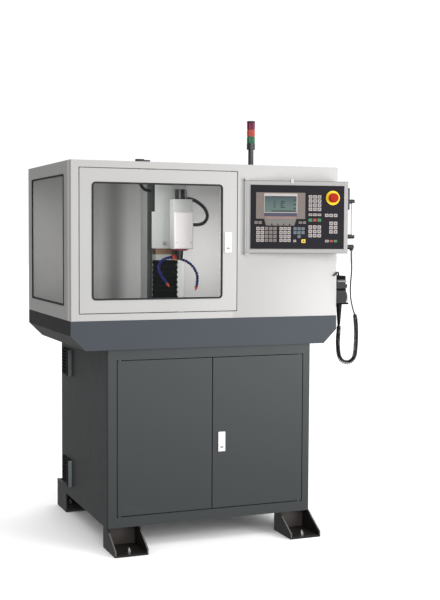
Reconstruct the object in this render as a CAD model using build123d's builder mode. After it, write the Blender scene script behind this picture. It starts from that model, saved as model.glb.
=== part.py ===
from build123d import *
import os
from math import cos, radians, sin, tan

os.makedirs("parts", exist_ok=True)

# Overall sizes, in millimetres
enclosure_width = 1180.0
enclosure_depth = 780.0
tray_height = 120.0
tray_chamfer = 60.0
cabinet_width = 910.0
cabinet_depth = 765.0
cabinet_height = 730.0
cabinet_offset = 16.0
cabinet_setback = 10.0
ground_clearance = 90.0

# Sheet metal
enclosure_sheet = 2.0
cabinet_sheet = 2.0
tray_sheet = 3.0
front_return = 20.0
frame_return = 25.0
front_edge_radius = 4.0
cabinet_corner_radius = 8.0

# Fits and cuts
fit_clearance = 0.05
slide_clearance = 0.3
overrun = 1.0

# Doors, their pivots and windows
door_gap = 3.0
door_depth = 20.0
door_edge_radius = 1.5
pivot_inset = 12.0
pivot_depth = 8.0
pin_radius = 3.0
pin_grip = 12.0
front_door_margin = 36.0
front_door_width = 674.0
front_door_bottom_margin = 30.0
front_door_top_margin = 31.0
window_left_margin = 52.0
window_right_margin = 66.0
window_top_margin = 56.0
window_bottom_margin = 54.0
window_radius = 15.0
side_window_front_margin = 114.0
side_window_rear_margin = 77.0
side_window_top_margin = 54.0
side_window_bottom_margin = 58.0
side_window_radius = 6.0
seal_lip = 2.0
seal_width = 5.0
seal_proud = 2.0
glass_grip = 2.5
glass_thickness = 4.0
cabinet_left_margin = 41.0
cabinet_right_margin = 34.0
cabinet_top_margin = 43.0
cabinet_bottom_margin = 43.0
left_leaf_width = 411.0

# Flush lever latches
latch_width = 30.0
latch_height = 82.0
latch_flange = 5.0
latch_rim = 3.0
latch_body_depth = 14.0
latch_pocket_depth = 8.0
lever_thickness = 6.0
lever_gap = 0.4
lever_end_gap = 1.4
lever_pin_radius = 1.5
lever_pin_grip = 2.0
lever_heel = 4.0
lever_slot_width = 10.0
lever_slot_height = 4.0
lever_slot_rise = 9.0
front_latch_inset = 41.0
front_latch_rise = 285.0
cabinet_latch_inset = 40.0
cabinet_latch_rise = 282.0

# Feet
foot_width = 140.0
foot_reach = 115.0
foot_under = 58.0
rear_foot_width = 105.0
rear_foot_reach = 93.0
rear_foot_under = 76.0
rear_foot_rise = 37.0
foot_plate = 8.0
gusset_thickness = 6.0
gusset_toe = 14.0
foot_bolt_radius = 6.0
foot_bolt_length = 26.0
foot_nut_radius = 10.0
foot_nut_height = 9.0
front_bolt_setback = 42.0
rear_bolt_setback = 30.0

# Ventilation
vent_size = 120.0
vent_frame_depth = 8.0
vent_body_size = 104.0
vent_body_depth = 40.0
vent_bore_radius = 46.0
vent_inset = 95.0
upper_vent_drop = 114.0
lower_vent_rise = 113.0
louvre_count = 7
louvre_height = 5.0
spider_width = 8.0
spider_depth = 6.0
fan_post_radius = 4.0
fan_post_length = 24.0
fan_hub_radius = 17.0
fan_hub_depth = 18.0
fan_blade_count = 7
fan_blade_thickness = 2.0
fan_blade_depth = 14.0
fan_tip_gap = 2.0

# Coolant and drive units inside the cabinet
tank_width = 380.0
tank_depth = 500.0
tank_height = 240.0
tank_left_gap = 50.0
tank_front_gap = 60.0
tank_edge_radius = 12.0
tank_lid_height = 6.0
pump_flange_radius = 70.0
pump_flange_height = 10.0
pump_radius = 52.0
pump_height = 170.0
pump_cap_radius = 56.0
pump_cap_height = 26.0
drive_plate_width = 380.0
drive_plate_height = 560.0
drive_plate_thickness = 3.0
drive_right_gap = 30.0
drive_bottom_gap = 110.0
drive_module_depth = 150.0
drive_module_height = 240.0
drive_module_count = 4
drive_module_gap = 14.0
supply_height = 130.0
supply_depth = 110.0

# Operator panel, a wedge that faces the operator
panel_width = 431.0
panel_right_margin = 6.0
panel_rise = 271.0
panel_height = 303.0
panel_angle = 12.0
panel_gap = 2.0
panel_thin_edge = 16.0
panel_wall = 3.0
panel_border = 18.0
panel_edge_radius = 2.0
panel_pivot_inset = 5.0
panel_pin_radius = 2.5
panel_ledge = 8.0
panel_cavity_inset = 110.0
faceplate_thickness = 3.0
faceplate_recess = 1.0
lug_thickness = 6.0
lug_half_width = 9.0
lug_gap = 0.5
screen_thickness = 1.5
screen_left_share = 0.06
screen_top_share = 0.115
screen_width_share = 0.522
screen_height_share = 0.413
tab_left_share = 0.145
tab_width_share = 0.341
tab_height_share = 0.105
tab_taper_share = 0.02
key_height = 1.2
key_gap_share = 0.18
key_groups_shares = [
    (0.060, 0.650, 0.224, 0.245, 5, 4),
    (0.305, 0.650, 0.128, 0.245, 3, 4),
    (0.454, 0.650, 0.128, 0.184, 3, 3),
    (0.454, 0.850, 0.037, 0.046, 1, 1),
    (0.540, 0.842, 0.053, 0.069, 1, 1),
    (0.040, 0.560, 0.085, 0.054, 2, 1),
    (0.510, 0.560, 0.085, 0.046, 2, 1),
    (0.614, 0.145, 0.144, 0.260, 3, 4),
    (0.614, 0.436, 0.144, 0.046, 3, 1),
    (0.614, 0.513, 0.144, 0.061, 3, 1),
    (0.614, 0.620, 0.144, 0.200, 3, 3),
    (0.790, 0.436, 0.143, 0.061, 3, 1),
    (0.838, 0.559, 0.096, 0.200, 2, 3),
    (0.795, 0.850, 0.139, 0.046, 3, 1),
]
stop_across_share = 0.877
stop_down_share = 0.191
stop_disc_radius = 30.0
stop_disc_height = 3.0
stop_boss_radius = 15.0
stop_boss_height = 4.0
stop_stem_radius = 8.0
stop_stem_length = 26.0
stop_cap_radius = 20.0
stop_cap_height = 14.0
stop_cap_edge = 5.0
stop_gap = 6.0
clip_across_share = 0.445
clip_width = 12.0
clip_tab = 10.0
clip_rise = 9.0
clip_thickness = 3.0
clip_depth = 14.0
handle_setback = 20.0
handle_rise = 146.0
handle_span = 149.0
handle_standoff = 33.0
handle_bar_radius = 7.5
handle_mount_radius = 9.0
plug_setback = 20.0
plug_rise = 27.0
plug_reach = 28.0
plug_radius = 10.0
plug_drop = 16.0
plug_sleeve_radius = 7.0

# Signal tower on the roof
tower_side_margin = 329.0
tower_setback = 190.0
tower_foot_radius = 24.0
tower_foot_height = 5.0
tower_pole_radius = 11.5
tower_pole_height = 73.0
tower_radius = 18.0
tower_base_height = 26.0
lens_count = 3
lens_height = 30.0
lens_gap = 1.0
lens_radius_drop = 0.8
tower_cap_height = 7.0
tower_cap_edge = 2.3

# Door switch on the roof edge
switch_side_margin = 302.0
switch_width = 58.0
switch_depth = 24.0
switch_height = 10.0
switch_body_share = 0.55
switch_step = 3.0
switch_setback = 2.0

# Hand pendant on the right wall
hook_thickness = 3.0
hook_height = 26.0
hook_rise = 192.0
hook_front_length = 20.0
hook_side_length = 92.0
pendant_depth = 53.0
pendant_upper_width = 72.0
pendant_lower_width = 80.0
pendant_front_setback = 16.0
pendant_hang = 22.0
pendant_upper_height = 60.0
pendant_neck = 4.0
pendant_neck_inset = 3.0
pendant_lower_height = 58.0
pendant_edge_radius = 3.0
grip_length = 93.0
grip_top_radius = 13.0
grip_end_radius = 6.0
grip_offset = 25.0
grip_setback = 30.0
wheel_radius = 22.0
wheel_thickness = 12.0
wheel_gap = 1.0
wheel_shaft_radius = 4.0
wheel_shaft_length = 10.0
wheel_handle_radius = 3.0
wheel_handle_share = 0.72
selector_radius = 9.0
selector_thickness = 12.0
selector_pointer_width = 5.0
selector_rise = 14.0

# Pendant lead, as points chosen along its route
bend_share = 0.45
lead_radius = 3.0
coil_radius = 10.0
lead_drop = 32.0
lead_bends = [
    (619.0, -474.0, 1148.0),
    (620.0, -465.0, 1105.0),
    (622.0, -455.0, 1057.0),
    (630.0, -446.0, 1009.0),
    (646.0, -438.0, 967.0),
    (660.0, -432.0, 938.0),
]
coil_points = [
    (660.0, -432.0, 938.0),
    (667.0, -428.0, 895.0),
    (671.0, -423.0, 850.0),
    (672.0, -418.0, 800.0),
    (670.0, -412.0, 754.0),
    (651.0, -405.0, 733.0),
    (624.0, -398.0, 733.0),
    (605.0, -391.0, 754.0),
    (603.0, -384.0, 796.0),
    (608.0, -373.0, 840.0),
]
coil_rise = 27.0

# Milling machine inside the enclosure
machine_x = -45.0
spindle_setback = 250.0
bed_half_width = 87.0
bed_front_reach = 160.0
bed_back_reach = 300.0
bed_height = 30.0
way_height = 12.0
way_half_top = 48.0
way_half_root = 41.0
channel_half_width = 18.0
channel_end = 12.0
bed_channel_depth = 34.0
screw_radius = 6.0
nut_half_width = 14.0
nut_half_length = 25.0
nut_floor_gap = 2.0
saddle_half_width = 90.0
saddle_half_length = 80.0
saddle_height = 30.0
table_length = 480.0
table_half_depth = 80.0
table_height = 47.0
table_channel_height = 26.0
table_screw_height = 22.0
slot_pitch = 80.0
slot_width = 12.0
slot_neck_depth = 8.0
slot_foot_width = 20.0
slot_foot_depth = 7.0
axis_motor_size = 42.0
axis_motor_length = 60.0
column_half_width = 87.0
column_setback = 190.0
column_depth = 95.0
column_height = 635.0
column_wall = 16.0
column_channel_depth = 48.0
column_channel_floor = 15.0
lift_motor_size = 60.0
lift_motor_length = 66.0
lift_motor_headroom = 12.0
motor_edge = 4.0
carriage_half_width = 64.0
carriage_depth = 60.0
carriage_height = 162.0
carriage_rise = 357.0
carriage_nut_rise = 25.0
carriage_bolt_radius = 5.0
carriage_bolt_depth = 4.0
carriage_bolt_inset = 16.0
head_half_width = 42.5
head_nose = 43.0
head_rise = 3.0
head_height = 213.0
head_edge_radius = 4.0
cover_thickness = 12.0
cover_height = 158.0
cover_edge_radius = 5.0
cover_bolt_radius = 4.0
cover_bolt_depth = 2.0
cover_bolt_inset = 10.0
cover_bolt_rise = 27.0
spindle_radius = 20.0
spindle_stub_radius = 8.0
spindle_top_gap = 18.0
spindle_flange_radius = 26.0
spindle_flange_height = 8.0
spindle_nose_radius = 16.0
spindle_tip_radius = 12.0
spindle_nose_length = 40.0
collet_radius = 6.0
collet_depth = 36.0
spindle_motor_radius = 23.0
spindle_motor_height = 43.0
motor_rib_count = 5
motor_rib_depth = 2.5
motor_rib_share = 0.5
bellows_half_width = 60.0
bellows_depth = 26.0
bellows_gap = 2.0
bellows_drop = 49.0
bellows_pleats = 14
bellows_fold = 5.0
bellows_crest_share = 0.5
cable_radius = 5.0
cable_setback = 14.0
cable_out = 52.0
cable_points = [
    (0.0, 20.0, -30.0),
    (-20.0, 20.0, -30.0),
    (-40.0, 18.0, -12.0),
    (-51.0, 15.0, 18.0),
    (-52.0, 14.0, 49.0),
]
conduit_radius = 7.0
conduit_points = [
    (0.0, 30.0, 205.0),
    (24.5, 30.0, 205.0),
    (58.5, 30.0, 197.0),
    (86.5, 30.0, 175.0),
    (99.5, 30.0, 145.0),
    (86.5, 30.0, 117.0),
    (58.5, 30.0, 105.0),
    (26.5, 30.0, 106.0),
    (0.0, 30.0, 106.0),
]
bracket_width = 103.0
bracket_right_reach = 4.0
bracket_setback = 32.0
bracket_depth = 48.0
bracket_height = 25.0
manifold_inset = 21.0
manifold_setback = 10.0
manifold_size = 26.0
manifold_height = 23.0
hose_radius = 6.5
nozzle_length = 14.0
nozzle_radius = 3.0
left_hose_points = [
    (0.0, 0.0, -12.0),
    (-28.0, -2.0, -16.0),
    (-58.0, -10.0, -32.0),
    (-70.0, -20.0, -59.0),
    (-65.0, -33.0, -83.0),
    (-55.0, -43.0, -104.0),
    (-38.0, -51.0, -128.0),
]
right_hose_points = [
    (0.0, 0.0, -16.0),
    (30.0, 0.0, -24.0),
    (62.0, -9.0, -44.0),
    (80.0, -24.0, -76.0),
    (82.0, -36.0, -110.0),
    (71.0, -46.0, -144.0),
]

# Levels and limits that follow from the sizes
cabinet_left = cabinet_offset - cabinet_width / 2
cabinet_right = cabinet_offset + cabinet_width / 2
front_y = -enclosure_depth / 2
back_y = enclosure_depth / 2
cabinet_front = front_y + cabinet_setback
cabinet_back = cabinet_front + cabinet_depth
cabinet_bottom = ground_clearance
tray_bottom = cabinet_bottom + cabinet_height
tray_top = tray_bottom + tray_height
bed_floor = tray_bottom + tray_sheet
bed_shoulder = bed_floor + bed_height
bed_top = bed_shoulder + way_height
column_top = bed_top + column_height
roof = column_top + lift_motor_length + lift_motor_headroom + enclosure_sheet
shell_front = front_y + front_return
half_width = enclosure_width / 2
panel_right = half_width - panel_right_margin
panel_left = panel_right - panel_width
panel_bottom = tray_top + panel_rise
panel_back = front_y - panel_gap
panel_corner = panel_back - panel_thin_edge
panel_turn = radians(panel_angle)
face_width = panel_width / cos(panel_turn)
plate_width = face_width - 2 * panel_border
plate_height = panel_height - 2 * panel_border
stop_across = panel_border + stop_across_share * plate_width
stop_up = panel_border + (1 - stop_down_share) * plate_height
stop_height = stop_disc_height + stop_boss_height + stop_gap + stop_cap_height - faceplate_recess
hook_top = tray_top + hook_rise
pendant_top = hook_top - pendant_hang
pendant_back = half_width + hook_thickness
pendant_face = pendant_back + pendant_depth
pendant_mid_y = front_y + pendant_front_setback + pendant_lower_width / 2

# The frame's origin is under the middle of the whole machine
right_reach = pendant_face + wheel_gap + wheel_thickness + wheel_shaft_length
stop_face_y = panel_corner - stop_across * sin(panel_turn)
stop_rim_reach = (stop_cap_radius - stop_cap_edge) * sin(panel_turn)
stop_reach = (stop_height - stop_cap_edge) * cos(panel_turn) + stop_rim_reach + stop_cap_edge
front_reach = stop_face_y - stop_reach
rear_reach = cabinet_back + rear_foot_reach
mid_x = (half_width - right_reach) / 2
mid_y = -(rear_reach + front_reach) / 2


def level(z, x=0, y=0):
    """A plane that faces up."""
    return Plane(origin=(mid_x + x, mid_y + y, z))


def front(y, x=0, z=0):
    """A plane that faces the operator, with Z up."""
    return Plane(origin=(mid_x + x, mid_y + y, z), x_dir=(1, 0, 0), z_dir=(0, -1, 0))


def side(x, y=0, z=0):
    """A plane that faces right, with Z up."""
    return Plane(origin=(mid_x + x, mid_y + y, z), x_dir=(0, 1, 0), z_dir=(1, 0, 0))


def left_side(x, y=0, z=0):
    """A plane that faces left, with Z up."""
    return Plane(origin=(mid_x + x, mid_y + y, z), x_dir=(0, -1, 0), z_dir=(-1, 0, 0))


def mast(z, x=0, y=0):
    """A plane that faces down, whose own y axis points to the operator."""
    return Plane(origin=(mid_x + x, mid_y + y, z), x_dir=(1, 0, 0), z_dir=(0, 0, -1))


def panel(across, up, out=0):
    """A plane on the turned face of the operator panel."""
    x = mid_x + panel_left + across * cos(panel_turn) - out * sin(panel_turn)
    y = mid_y + panel_corner - across * sin(panel_turn) - out * cos(panel_turn)
    along = (cos(panel_turn), -sin(panel_turn), 0)
    outward = (-sin(panel_turn), -cos(panel_turn), 0)
    return Plane(origin=(x, y, panel_bottom + up), x_dir=along, z_dir=outward)


def block(x0, x1, y0, y1, z0, z1, mode=Mode.ADD):
    """A box between two corners, in the part that is being built."""
    with BuildSketch(level(z0, (x0 + x1) / 2, (y0 + y1) / 2)) as base:
        Rectangle(x1 - x0, y1 - y0)
    extrude(base.sketch, amount=z1 - z0, mode=mode)


def rod(plane, radius, length, mode=Mode.ADD):
    """A round bar or hole along a plane's normal."""
    with BuildSketch(plane) as section:
        Circle(radius)
    extrude(section.sketch, amount=length, mode=mode)


def way(plane, length, clearance=0, mode=Mode.ADD):
    """A dovetail way, or with a clearance the groove that runs on it."""
    root = way_half_root + clearance
    top = way_half_top + clearance
    crest = way_height + clearance
    with BuildSketch(plane) as section:
        Polygon((-root, 0), (root, 0), (top, crest), (-top, crest), align=None)
    extrude(section.sketch, amount=length, mode=mode)


def route(points):
    """A cord's points in the part's frame, with the largest bend that each corner has room for."""
    placed = [Vector(mid_x + x, mid_y + y, z) for x, y, z in points]
    runs = [b - a for a, b in zip(placed, placed[1:])]
    radii = []
    for before, after in zip(runs, runs[1:]):
        half_turn = radians(before.get_angle(after)) / 2
        radii.append(bend_share * min(before.length, after.length) / tan(half_turn))
    return placed, radii


def tube(points, radius):
    """A round cord along its route, in the part that is being built."""
    placed, radii = route(points)
    with BuildLine() as path:
        FilletPolyline(*placed, radius=radii)
    spine = path.wires()[0]
    with BuildSketch(Plane(origin=spine @ 0, z_dir=spine % 0)) as section:
        Circle(radius)
    sweep(section.sketch, path=spine)
    print("radii", [round(r) for r in radii], "length", round(spine.length))


def carried(points, x, y, z):
    """A cord's points, measured from the place on the piece that carries it."""
    return [(x + out, y + back, z + rise) for out, back, rise in points]


def save(piece, name):
    """Label a finished piece and write it."""
    piece.part.label = name
    export_step(piece.part, f"parts/{name}.step")


# Base cabinet
open_left = cabinet_left + cabinet_left_margin
open_right = cabinet_right - cabinet_right_margin
open_bottom = cabinet_bottom + cabinet_bottom_margin
open_top = tray_bottom - cabinet_top_margin
leaf_bottom = open_bottom + door_gap
leaf_top = open_top - door_gap
left_leaf_left = open_left + door_gap
left_leaf_right = left_leaf_left + left_leaf_width
right_leaf_left = left_leaf_right + door_gap
right_leaf_right = open_right - door_gap
cabinet_pivot_y = cabinet_front + pivot_depth
left_pivot_x = left_leaf_left + pivot_inset
right_pivot_x = right_leaf_right - pivot_inset
vent_y = cabinet_back - vent_inset
lower_vent_z = cabinet_bottom + lower_vent_rise
upper_vent_z = tray_bottom - upper_vent_drop

with BuildPart() as base_cabinet:
    for inset, mode in ((0, Mode.ADD), (cabinet_sheet, Mode.SUBTRACT)):
        with BuildSketch(level(cabinet_bottom + inset, cabinet_offset,
                               (cabinet_front + cabinet_back) / 2)) as plan:
            Rectangle(cabinet_width - 2 * inset, cabinet_depth - 2 * inset)
            fillet(plan.vertices().group_by(Axis.Y)[0], cabinet_corner_radius - inset)
        extrude(amount=cabinet_height - 2 * inset, mode=mode)
    block(open_left - cabinet_sheet, open_right + cabinet_sheet, cabinet_front, cabinet_front + frame_return,
          open_bottom - cabinet_sheet, open_top + cabinet_sheet)
    block(open_left, open_right, cabinet_front - overrun, cabinet_front + frame_return + overrun,
          open_bottom, open_top, mode=Mode.SUBTRACT)
    for vent_z in (lower_vent_z, upper_vent_z):
        with BuildSketch(side(cabinet_left - overrun, vent_y, vent_z)):
            Rectangle(vent_body_size, vent_body_size)
        extrude(amount=cabinet_sheet + 2 * overrun, mode=Mode.SUBTRACT)
    for pivot_x in (left_pivot_x, right_pivot_x):
        rod(level(open_bottom - cabinet_sheet - overrun, pivot_x, cabinet_pivot_y),
            pin_radius + fit_clearance, cabinet_sheet + 2 * overrun, Mode.SUBTRACT)
        rod(level(open_top - overrun, pivot_x, cabinet_pivot_y), pin_radius + fit_clearance,
            cabinet_sheet + 2 * overrun, Mode.SUBTRACT)
save(base_cabinet, "base_cabinet")


def door_leaf(leaf, left, right, face, bottom, top, pivot_x, sheet):
    """A folded door leaf with a pivot hole in its upper and lower return."""
    block(left, right, face, face + door_depth, bottom, top)
    fillet(leaf.faces().sort_by(Axis.Y)[0].edges(), door_edge_radius)
    block(left + sheet, right - sheet, face + sheet, face + door_depth + overrun, bottom + sheet, top - sheet,
          mode=Mode.SUBTRACT)
    for hole_z in (bottom - overrun, top - sheet - overrun):
        rod(level(hole_z, pivot_x, face + pivot_depth), pin_radius + fit_clearance, sheet + 2 * overrun,
            Mode.SUBTRACT)


def latch_cut(x, z, face, sheet):
    """The hole in a leaf that a latch's body goes through."""
    block(x - latch_width / 2 + latch_rim, x + latch_width / 2 - latch_rim, face - overrun,
          face + sheet + overrun, z - latch_height / 2 + latch_rim, z + latch_height / 2 - latch_rim,
          mode=Mode.SUBTRACT)


lever_half_width = latch_width / 2 - 2 * latch_rim
lever_top = latch_height / 2 - 2 * latch_rim - lever_end_gap
lever_bottom = -lever_top


def latch_housing(x, z, face):
    """The flanged cup of a flush latch."""
    block(x - latch_width / 2, x + latch_width / 2, face - latch_flange, face,
          z - latch_height / 2, z + latch_height / 2)
    block(x - latch_width / 2 + latch_rim, x + latch_width / 2 - latch_rim, face, face + latch_body_depth,
          z - latch_height / 2 + latch_rim, z + latch_height / 2 - latch_rim)
    pocket_half = lever_half_width + lever_gap
    block(x - pocket_half, x + pocket_half, face - latch_flange - overrun, face + latch_pocket_depth,
          z + lever_bottom - lever_end_gap, z + lever_top + lever_end_gap, mode=Mode.SUBTRACT)
    grip = lever_half_width + lever_pin_grip + slide_clearance
    rod(side(x - grip, face - latch_flange + lever_thickness / 2, z + lever_top - lever_heel),
        lever_pin_radius + fit_clearance, 2 * grip, Mode.SUBTRACT)


def latch_lever(x, z, face):
    """The lever of a flush latch, with its pivot pin and finger slot."""
    block(x - lever_half_width, x + lever_half_width, face - latch_flange,
          face - latch_flange + lever_thickness, z + lever_bottom, z + lever_top)
    slot_z = z + lever_bottom + lever_slot_rise
    block(x - lever_slot_width / 2, x + lever_slot_width / 2, face - latch_flange - overrun,
          face - latch_flange + lever_thickness + overrun, slot_z, slot_z + lever_slot_height,
          mode=Mode.SUBTRACT)
    grip = lever_half_width + lever_pin_grip
    rod(side(x - grip, face - latch_flange + lever_thickness / 2, z + lever_top - lever_heel),
        lever_pin_radius, 2 * grip)


# Cabinet doors and their latch
cabinet_latch_x = right_leaf_left + cabinet_latch_inset
cabinet_latch_z = leaf_bottom + cabinet_latch_rise

with BuildPart() as cabinet_door_left:
    door_leaf(cabinet_door_left, left_leaf_left, left_leaf_right, cabinet_front, leaf_bottom, leaf_top,
              left_pivot_x, cabinet_sheet)
save(cabinet_door_left, "cabinet_door_left")

with BuildPart() as cabinet_door_right:
    door_leaf(cabinet_door_right, right_leaf_left, right_leaf_right, cabinet_front, leaf_bottom, leaf_top,
              right_pivot_x, cabinet_sheet)
    latch_cut(cabinet_latch_x, cabinet_latch_z, cabinet_front, cabinet_sheet)
save(cabinet_door_right, "cabinet_door_right")

with BuildPart() as cabinet_latch_housing:
    latch_housing(cabinet_latch_x, cabinet_latch_z, cabinet_front)
save(cabinet_latch_housing, "cabinet_latch_housing")

with BuildPart() as cabinet_latch_lever:
    latch_lever(cabinet_latch_x, cabinet_latch_z, cabinet_front)
save(cabinet_latch_lever, "cabinet_latch_lever")

# Welded feet, with gussets in line with the cabinet's sides
front_foot_front = cabinet_front - foot_reach
front_foot_back = cabinet_front + foot_under
rear_foot_front = cabinet_back - rear_foot_under
rear_foot_back = cabinet_back + rear_foot_reach
foot_spans = [(cabinet_left, cabinet_left + foot_width), (cabinet_right - foot_width, cabinet_right)]
rear_spans = [(cabinet_left, cabinet_left + rear_foot_width),
              (cabinet_right - rear_foot_width, cabinet_right)]

with BuildPart() as feet:
    for left, right in foot_spans:
        block(left, right, front_foot_front, front_foot_back, 0, foot_plate)
        for gusset_x in (left, right - gusset_thickness):
            with BuildSketch(side(gusset_x, 0, 0)):
                Polygon((front_foot_front, foot_plate), (front_foot_back, foot_plate),
                        (front_foot_back, cabinet_bottom), (cabinet_front, cabinet_bottom),
                        (front_foot_front, foot_plate + gusset_toe), align=None)
            extrude(amount=gusset_thickness)
    for left, right in rear_spans:
        block(left, right, rear_foot_front, rear_foot_back, 0, foot_plate)
        for gusset_x in (left, right - gusset_thickness):
            with BuildSketch(side(gusset_x, 0, 0)):
                Polygon((rear_foot_front, foot_plate), (rear_foot_back, foot_plate),
                        (rear_foot_back, cabinet_bottom + rear_foot_rise),
                        (cabinet_back, cabinet_bottom + rear_foot_rise), (cabinet_back, cabinet_bottom),
                        (rear_foot_front, cabinet_bottom), align=None)
            extrude(amount=gusset_thickness)
    for left, right in foot_spans:
        rod(level(-overrun, (left + right) / 2, front_foot_front + front_bolt_setback),
            foot_bolt_radius + fit_clearance, foot_plate + 2 * overrun, Mode.SUBTRACT)
    for left, right in rear_spans:
        rod(level(-overrun, (left + right) / 2, rear_foot_back - rear_bolt_setback),
            foot_bolt_radius + fit_clearance, foot_plate + 2 * overrun, Mode.SUBTRACT)
save(feet, "feet")

bolt_places = [((left + right) / 2, front_foot_front + front_bolt_setback) for left, right in foot_spans]
bolt_places += [((left + right) / 2, rear_foot_back - rear_bolt_setback) for left, right in rear_spans]
with BuildPart() as foot_bolts:
    for bolt_x, bolt_y in bolt_places:
        rod(level(0, bolt_x, bolt_y), foot_bolt_radius, foot_bolt_length)
        with BuildSketch(level(foot_plate, bolt_x, bolt_y)):
            RegularPolygon(foot_nut_radius, 6)
        extrude(amount=foot_nut_height)
save(foot_bolts, "foot_bolts")

# Ventilation units in the cabinet's left wall
with BuildPart() as fan_housings:
    for vent_z in (lower_vent_z, upper_vent_z):
        with BuildSketch(left_side(cabinet_left, vent_y, vent_z)):
            Rectangle(vent_size, vent_size)
        extrude(amount=vent_frame_depth)
        with BuildSketch(side(cabinet_left, vent_y, vent_z)):
            Rectangle(vent_body_size - 2 * slide_clearance, vent_body_size - 2 * slide_clearance)
        extrude(amount=vent_body_depth)
        rod(side(cabinet_left - vent_frame_depth / 2, vent_y, vent_z), vent_bore_radius,
            vent_body_depth + vent_frame_depth, Mode.SUBTRACT)
        louvre_pitch = vent_body_size / louvre_count
        with BuildSketch(left_side(cabinet_left - overrun, vent_y, vent_z)):
            with GridLocations(0, louvre_pitch, 1, louvre_count):
                Rectangle(vent_body_size - louvre_pitch, louvre_height)
        extrude(amount=vent_frame_depth, mode=Mode.SUBTRACT)
    spider_x = cabinet_left + vent_body_depth - spider_depth
    with BuildSketch(side(spider_x, vent_y, lower_vent_z)):
        Rectangle(2 * vent_bore_radius + spider_width, spider_width)
        Rectangle(spider_width, 2 * vent_bore_radius + spider_width)
    extrude(amount=spider_depth)
    rod(left_side(spider_x, vent_y, lower_vent_z), fan_post_radius, fan_post_length)
save(fan_housings, "fan_housings")

with BuildPart() as fan_rotor:
    rotor_plane = left_side(spider_x - slide_clearance, vent_y, lower_vent_z)
    rod(rotor_plane, fan_hub_radius, fan_hub_depth)
    blade_reach = vent_bore_radius - fan_tip_gap
    with BuildSketch(rotor_plane.offset((fan_hub_depth - fan_blade_depth) / 2)):
        with PolarLocations(0, fan_blade_count):
            with Locations((blade_reach / 2, 0)):
                Rectangle(blade_reach, fan_blade_thickness)
    extrude(amount=fan_blade_depth)
    rod(rotor_plane.offset(-overrun), fan_post_radius + fit_clearance, fan_hub_depth + 2 * overrun,
        Mode.SUBTRACT)
save(fan_rotor, "fan_rotor")

# Coolant tank and pump
cabinet_floor = cabinet_bottom + cabinet_sheet
tank_left = cabinet_left + tank_left_gap
tank_front = cabinet_front + tank_front_gap
tank_top = cabinet_floor + tank_height
pump_x = tank_left + tank_width - pump_flange_radius - tank_edge_radius
pump_y = tank_front + pump_flange_radius + tank_edge_radius

with BuildPart() as coolant_tank:
    block(tank_left, tank_left + tank_width, tank_front, tank_front + tank_depth, cabinet_floor,
          tank_top - tank_lid_height)
    fillet(coolant_tank.edges().filter_by(Axis.Z), tank_edge_radius)
    block(tank_left - tank_lid_height, tank_left + tank_width + tank_lid_height, tank_front - tank_lid_height,
          tank_front + tank_depth + tank_lid_height, tank_top - tank_lid_height, tank_top)
save(coolant_tank, "coolant_tank")

with BuildPart() as coolant_pump:
    rod(level(tank_top, pump_x, pump_y), pump_flange_radius, pump_flange_height)
    rod(level(tank_top + pump_flange_height, pump_x, pump_y), pump_radius, pump_height)
    rod(level(tank_top + pump_flange_height + pump_height, pump_x, pump_y), pump_cap_radius, pump_cap_height)
save(coolant_pump, "coolant_pump")

# Drive plate with its modules, on the cabinet's back wall
drive_right = cabinet_right - cabinet_sheet - drive_right_gap
drive_left = drive_right - drive_plate_width
drive_bottom = cabinet_bottom + drive_bottom_gap
drive_back = cabinet_back - cabinet_sheet
drive_face = drive_back - drive_plate_thickness
module_width = (drive_plate_width - (drive_module_count + 1) * drive_module_gap) / drive_module_count
module_bottom = drive_bottom + drive_plate_height - drive_module_height - drive_module_gap

with BuildPart() as drive_cabinet:
    block(drive_left, drive_right, drive_face, drive_back, drive_bottom, drive_bottom + drive_plate_height)
    for place in range(drive_module_count):
        module_left = drive_left + drive_module_gap + place * (module_width + drive_module_gap)
        block(module_left, module_left + module_width, drive_face - drive_module_depth, drive_face,
              module_bottom, module_bottom + drive_module_height)
    block(drive_left + drive_module_gap, drive_right - drive_module_gap, drive_face - supply_depth,
          drive_face, drive_bottom + drive_module_gap, drive_bottom + drive_module_gap + supply_height)
save(drive_cabinet, "drive_cabinet")

# Chip tray, with slanted lower corners
with BuildPart() as chip_tray:
    with BuildSketch(front(back_y)):
        Polygon((-half_width, tray_top), (-half_width, tray_bottom + tray_chamfer),
                (-half_width + tray_chamfer, tray_bottom), (half_width - tray_chamfer, tray_bottom),
                (half_width, tray_bottom + tray_chamfer), (half_width, tray_top), align=None)
    extrude(amount=enclosure_depth)
    with BuildSketch(front(back_y - tray_sheet)):
        Polygon((-half_width, tray_top), (-half_width, tray_bottom + tray_chamfer),
                (-half_width + tray_chamfer, tray_bottom), (half_width - tray_chamfer, tray_bottom),
                (half_width, tray_bottom + tray_chamfer), (half_width, tray_top), align=None)
        offset(amount=-tray_sheet, kind=Kind.INTERSECTION, mode=Mode.REPLACE)
    extrude(amount=enclosure_depth - 2 * tray_sheet, mode=Mode.SUBTRACT)
    block(-half_width + tray_sheet, half_width - tray_sheet, front_y + tray_sheet, back_y - tray_sheet,
          tray_top - 2 * tray_sheet, tray_top + overrun, mode=Mode.SUBTRACT)
save(chip_tray, "chip_tray")

# Enclosure front panel, with the door opening
door_left = -half_width + front_door_margin
door_right = door_left + front_door_width
door_bottom = tray_top + front_door_bottom_margin
door_top = roof - front_door_top_margin
hatch_left = door_left - door_gap
hatch_right = door_right + door_gap
hatch_bottom = door_bottom - door_gap
hatch_top = door_top + door_gap
door_pivot_x = door_left + pivot_inset
door_pivot_y = front_y + pivot_depth
panel_top = panel_bottom + panel_height
panel_pivot_x = panel_left + panel_pivot_inset
panel_pivot_y = panel_back - panel_thin_edge / 2
lug_levels = (panel_bottom - lug_gap - lug_thickness, panel_top + lug_gap)

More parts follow.
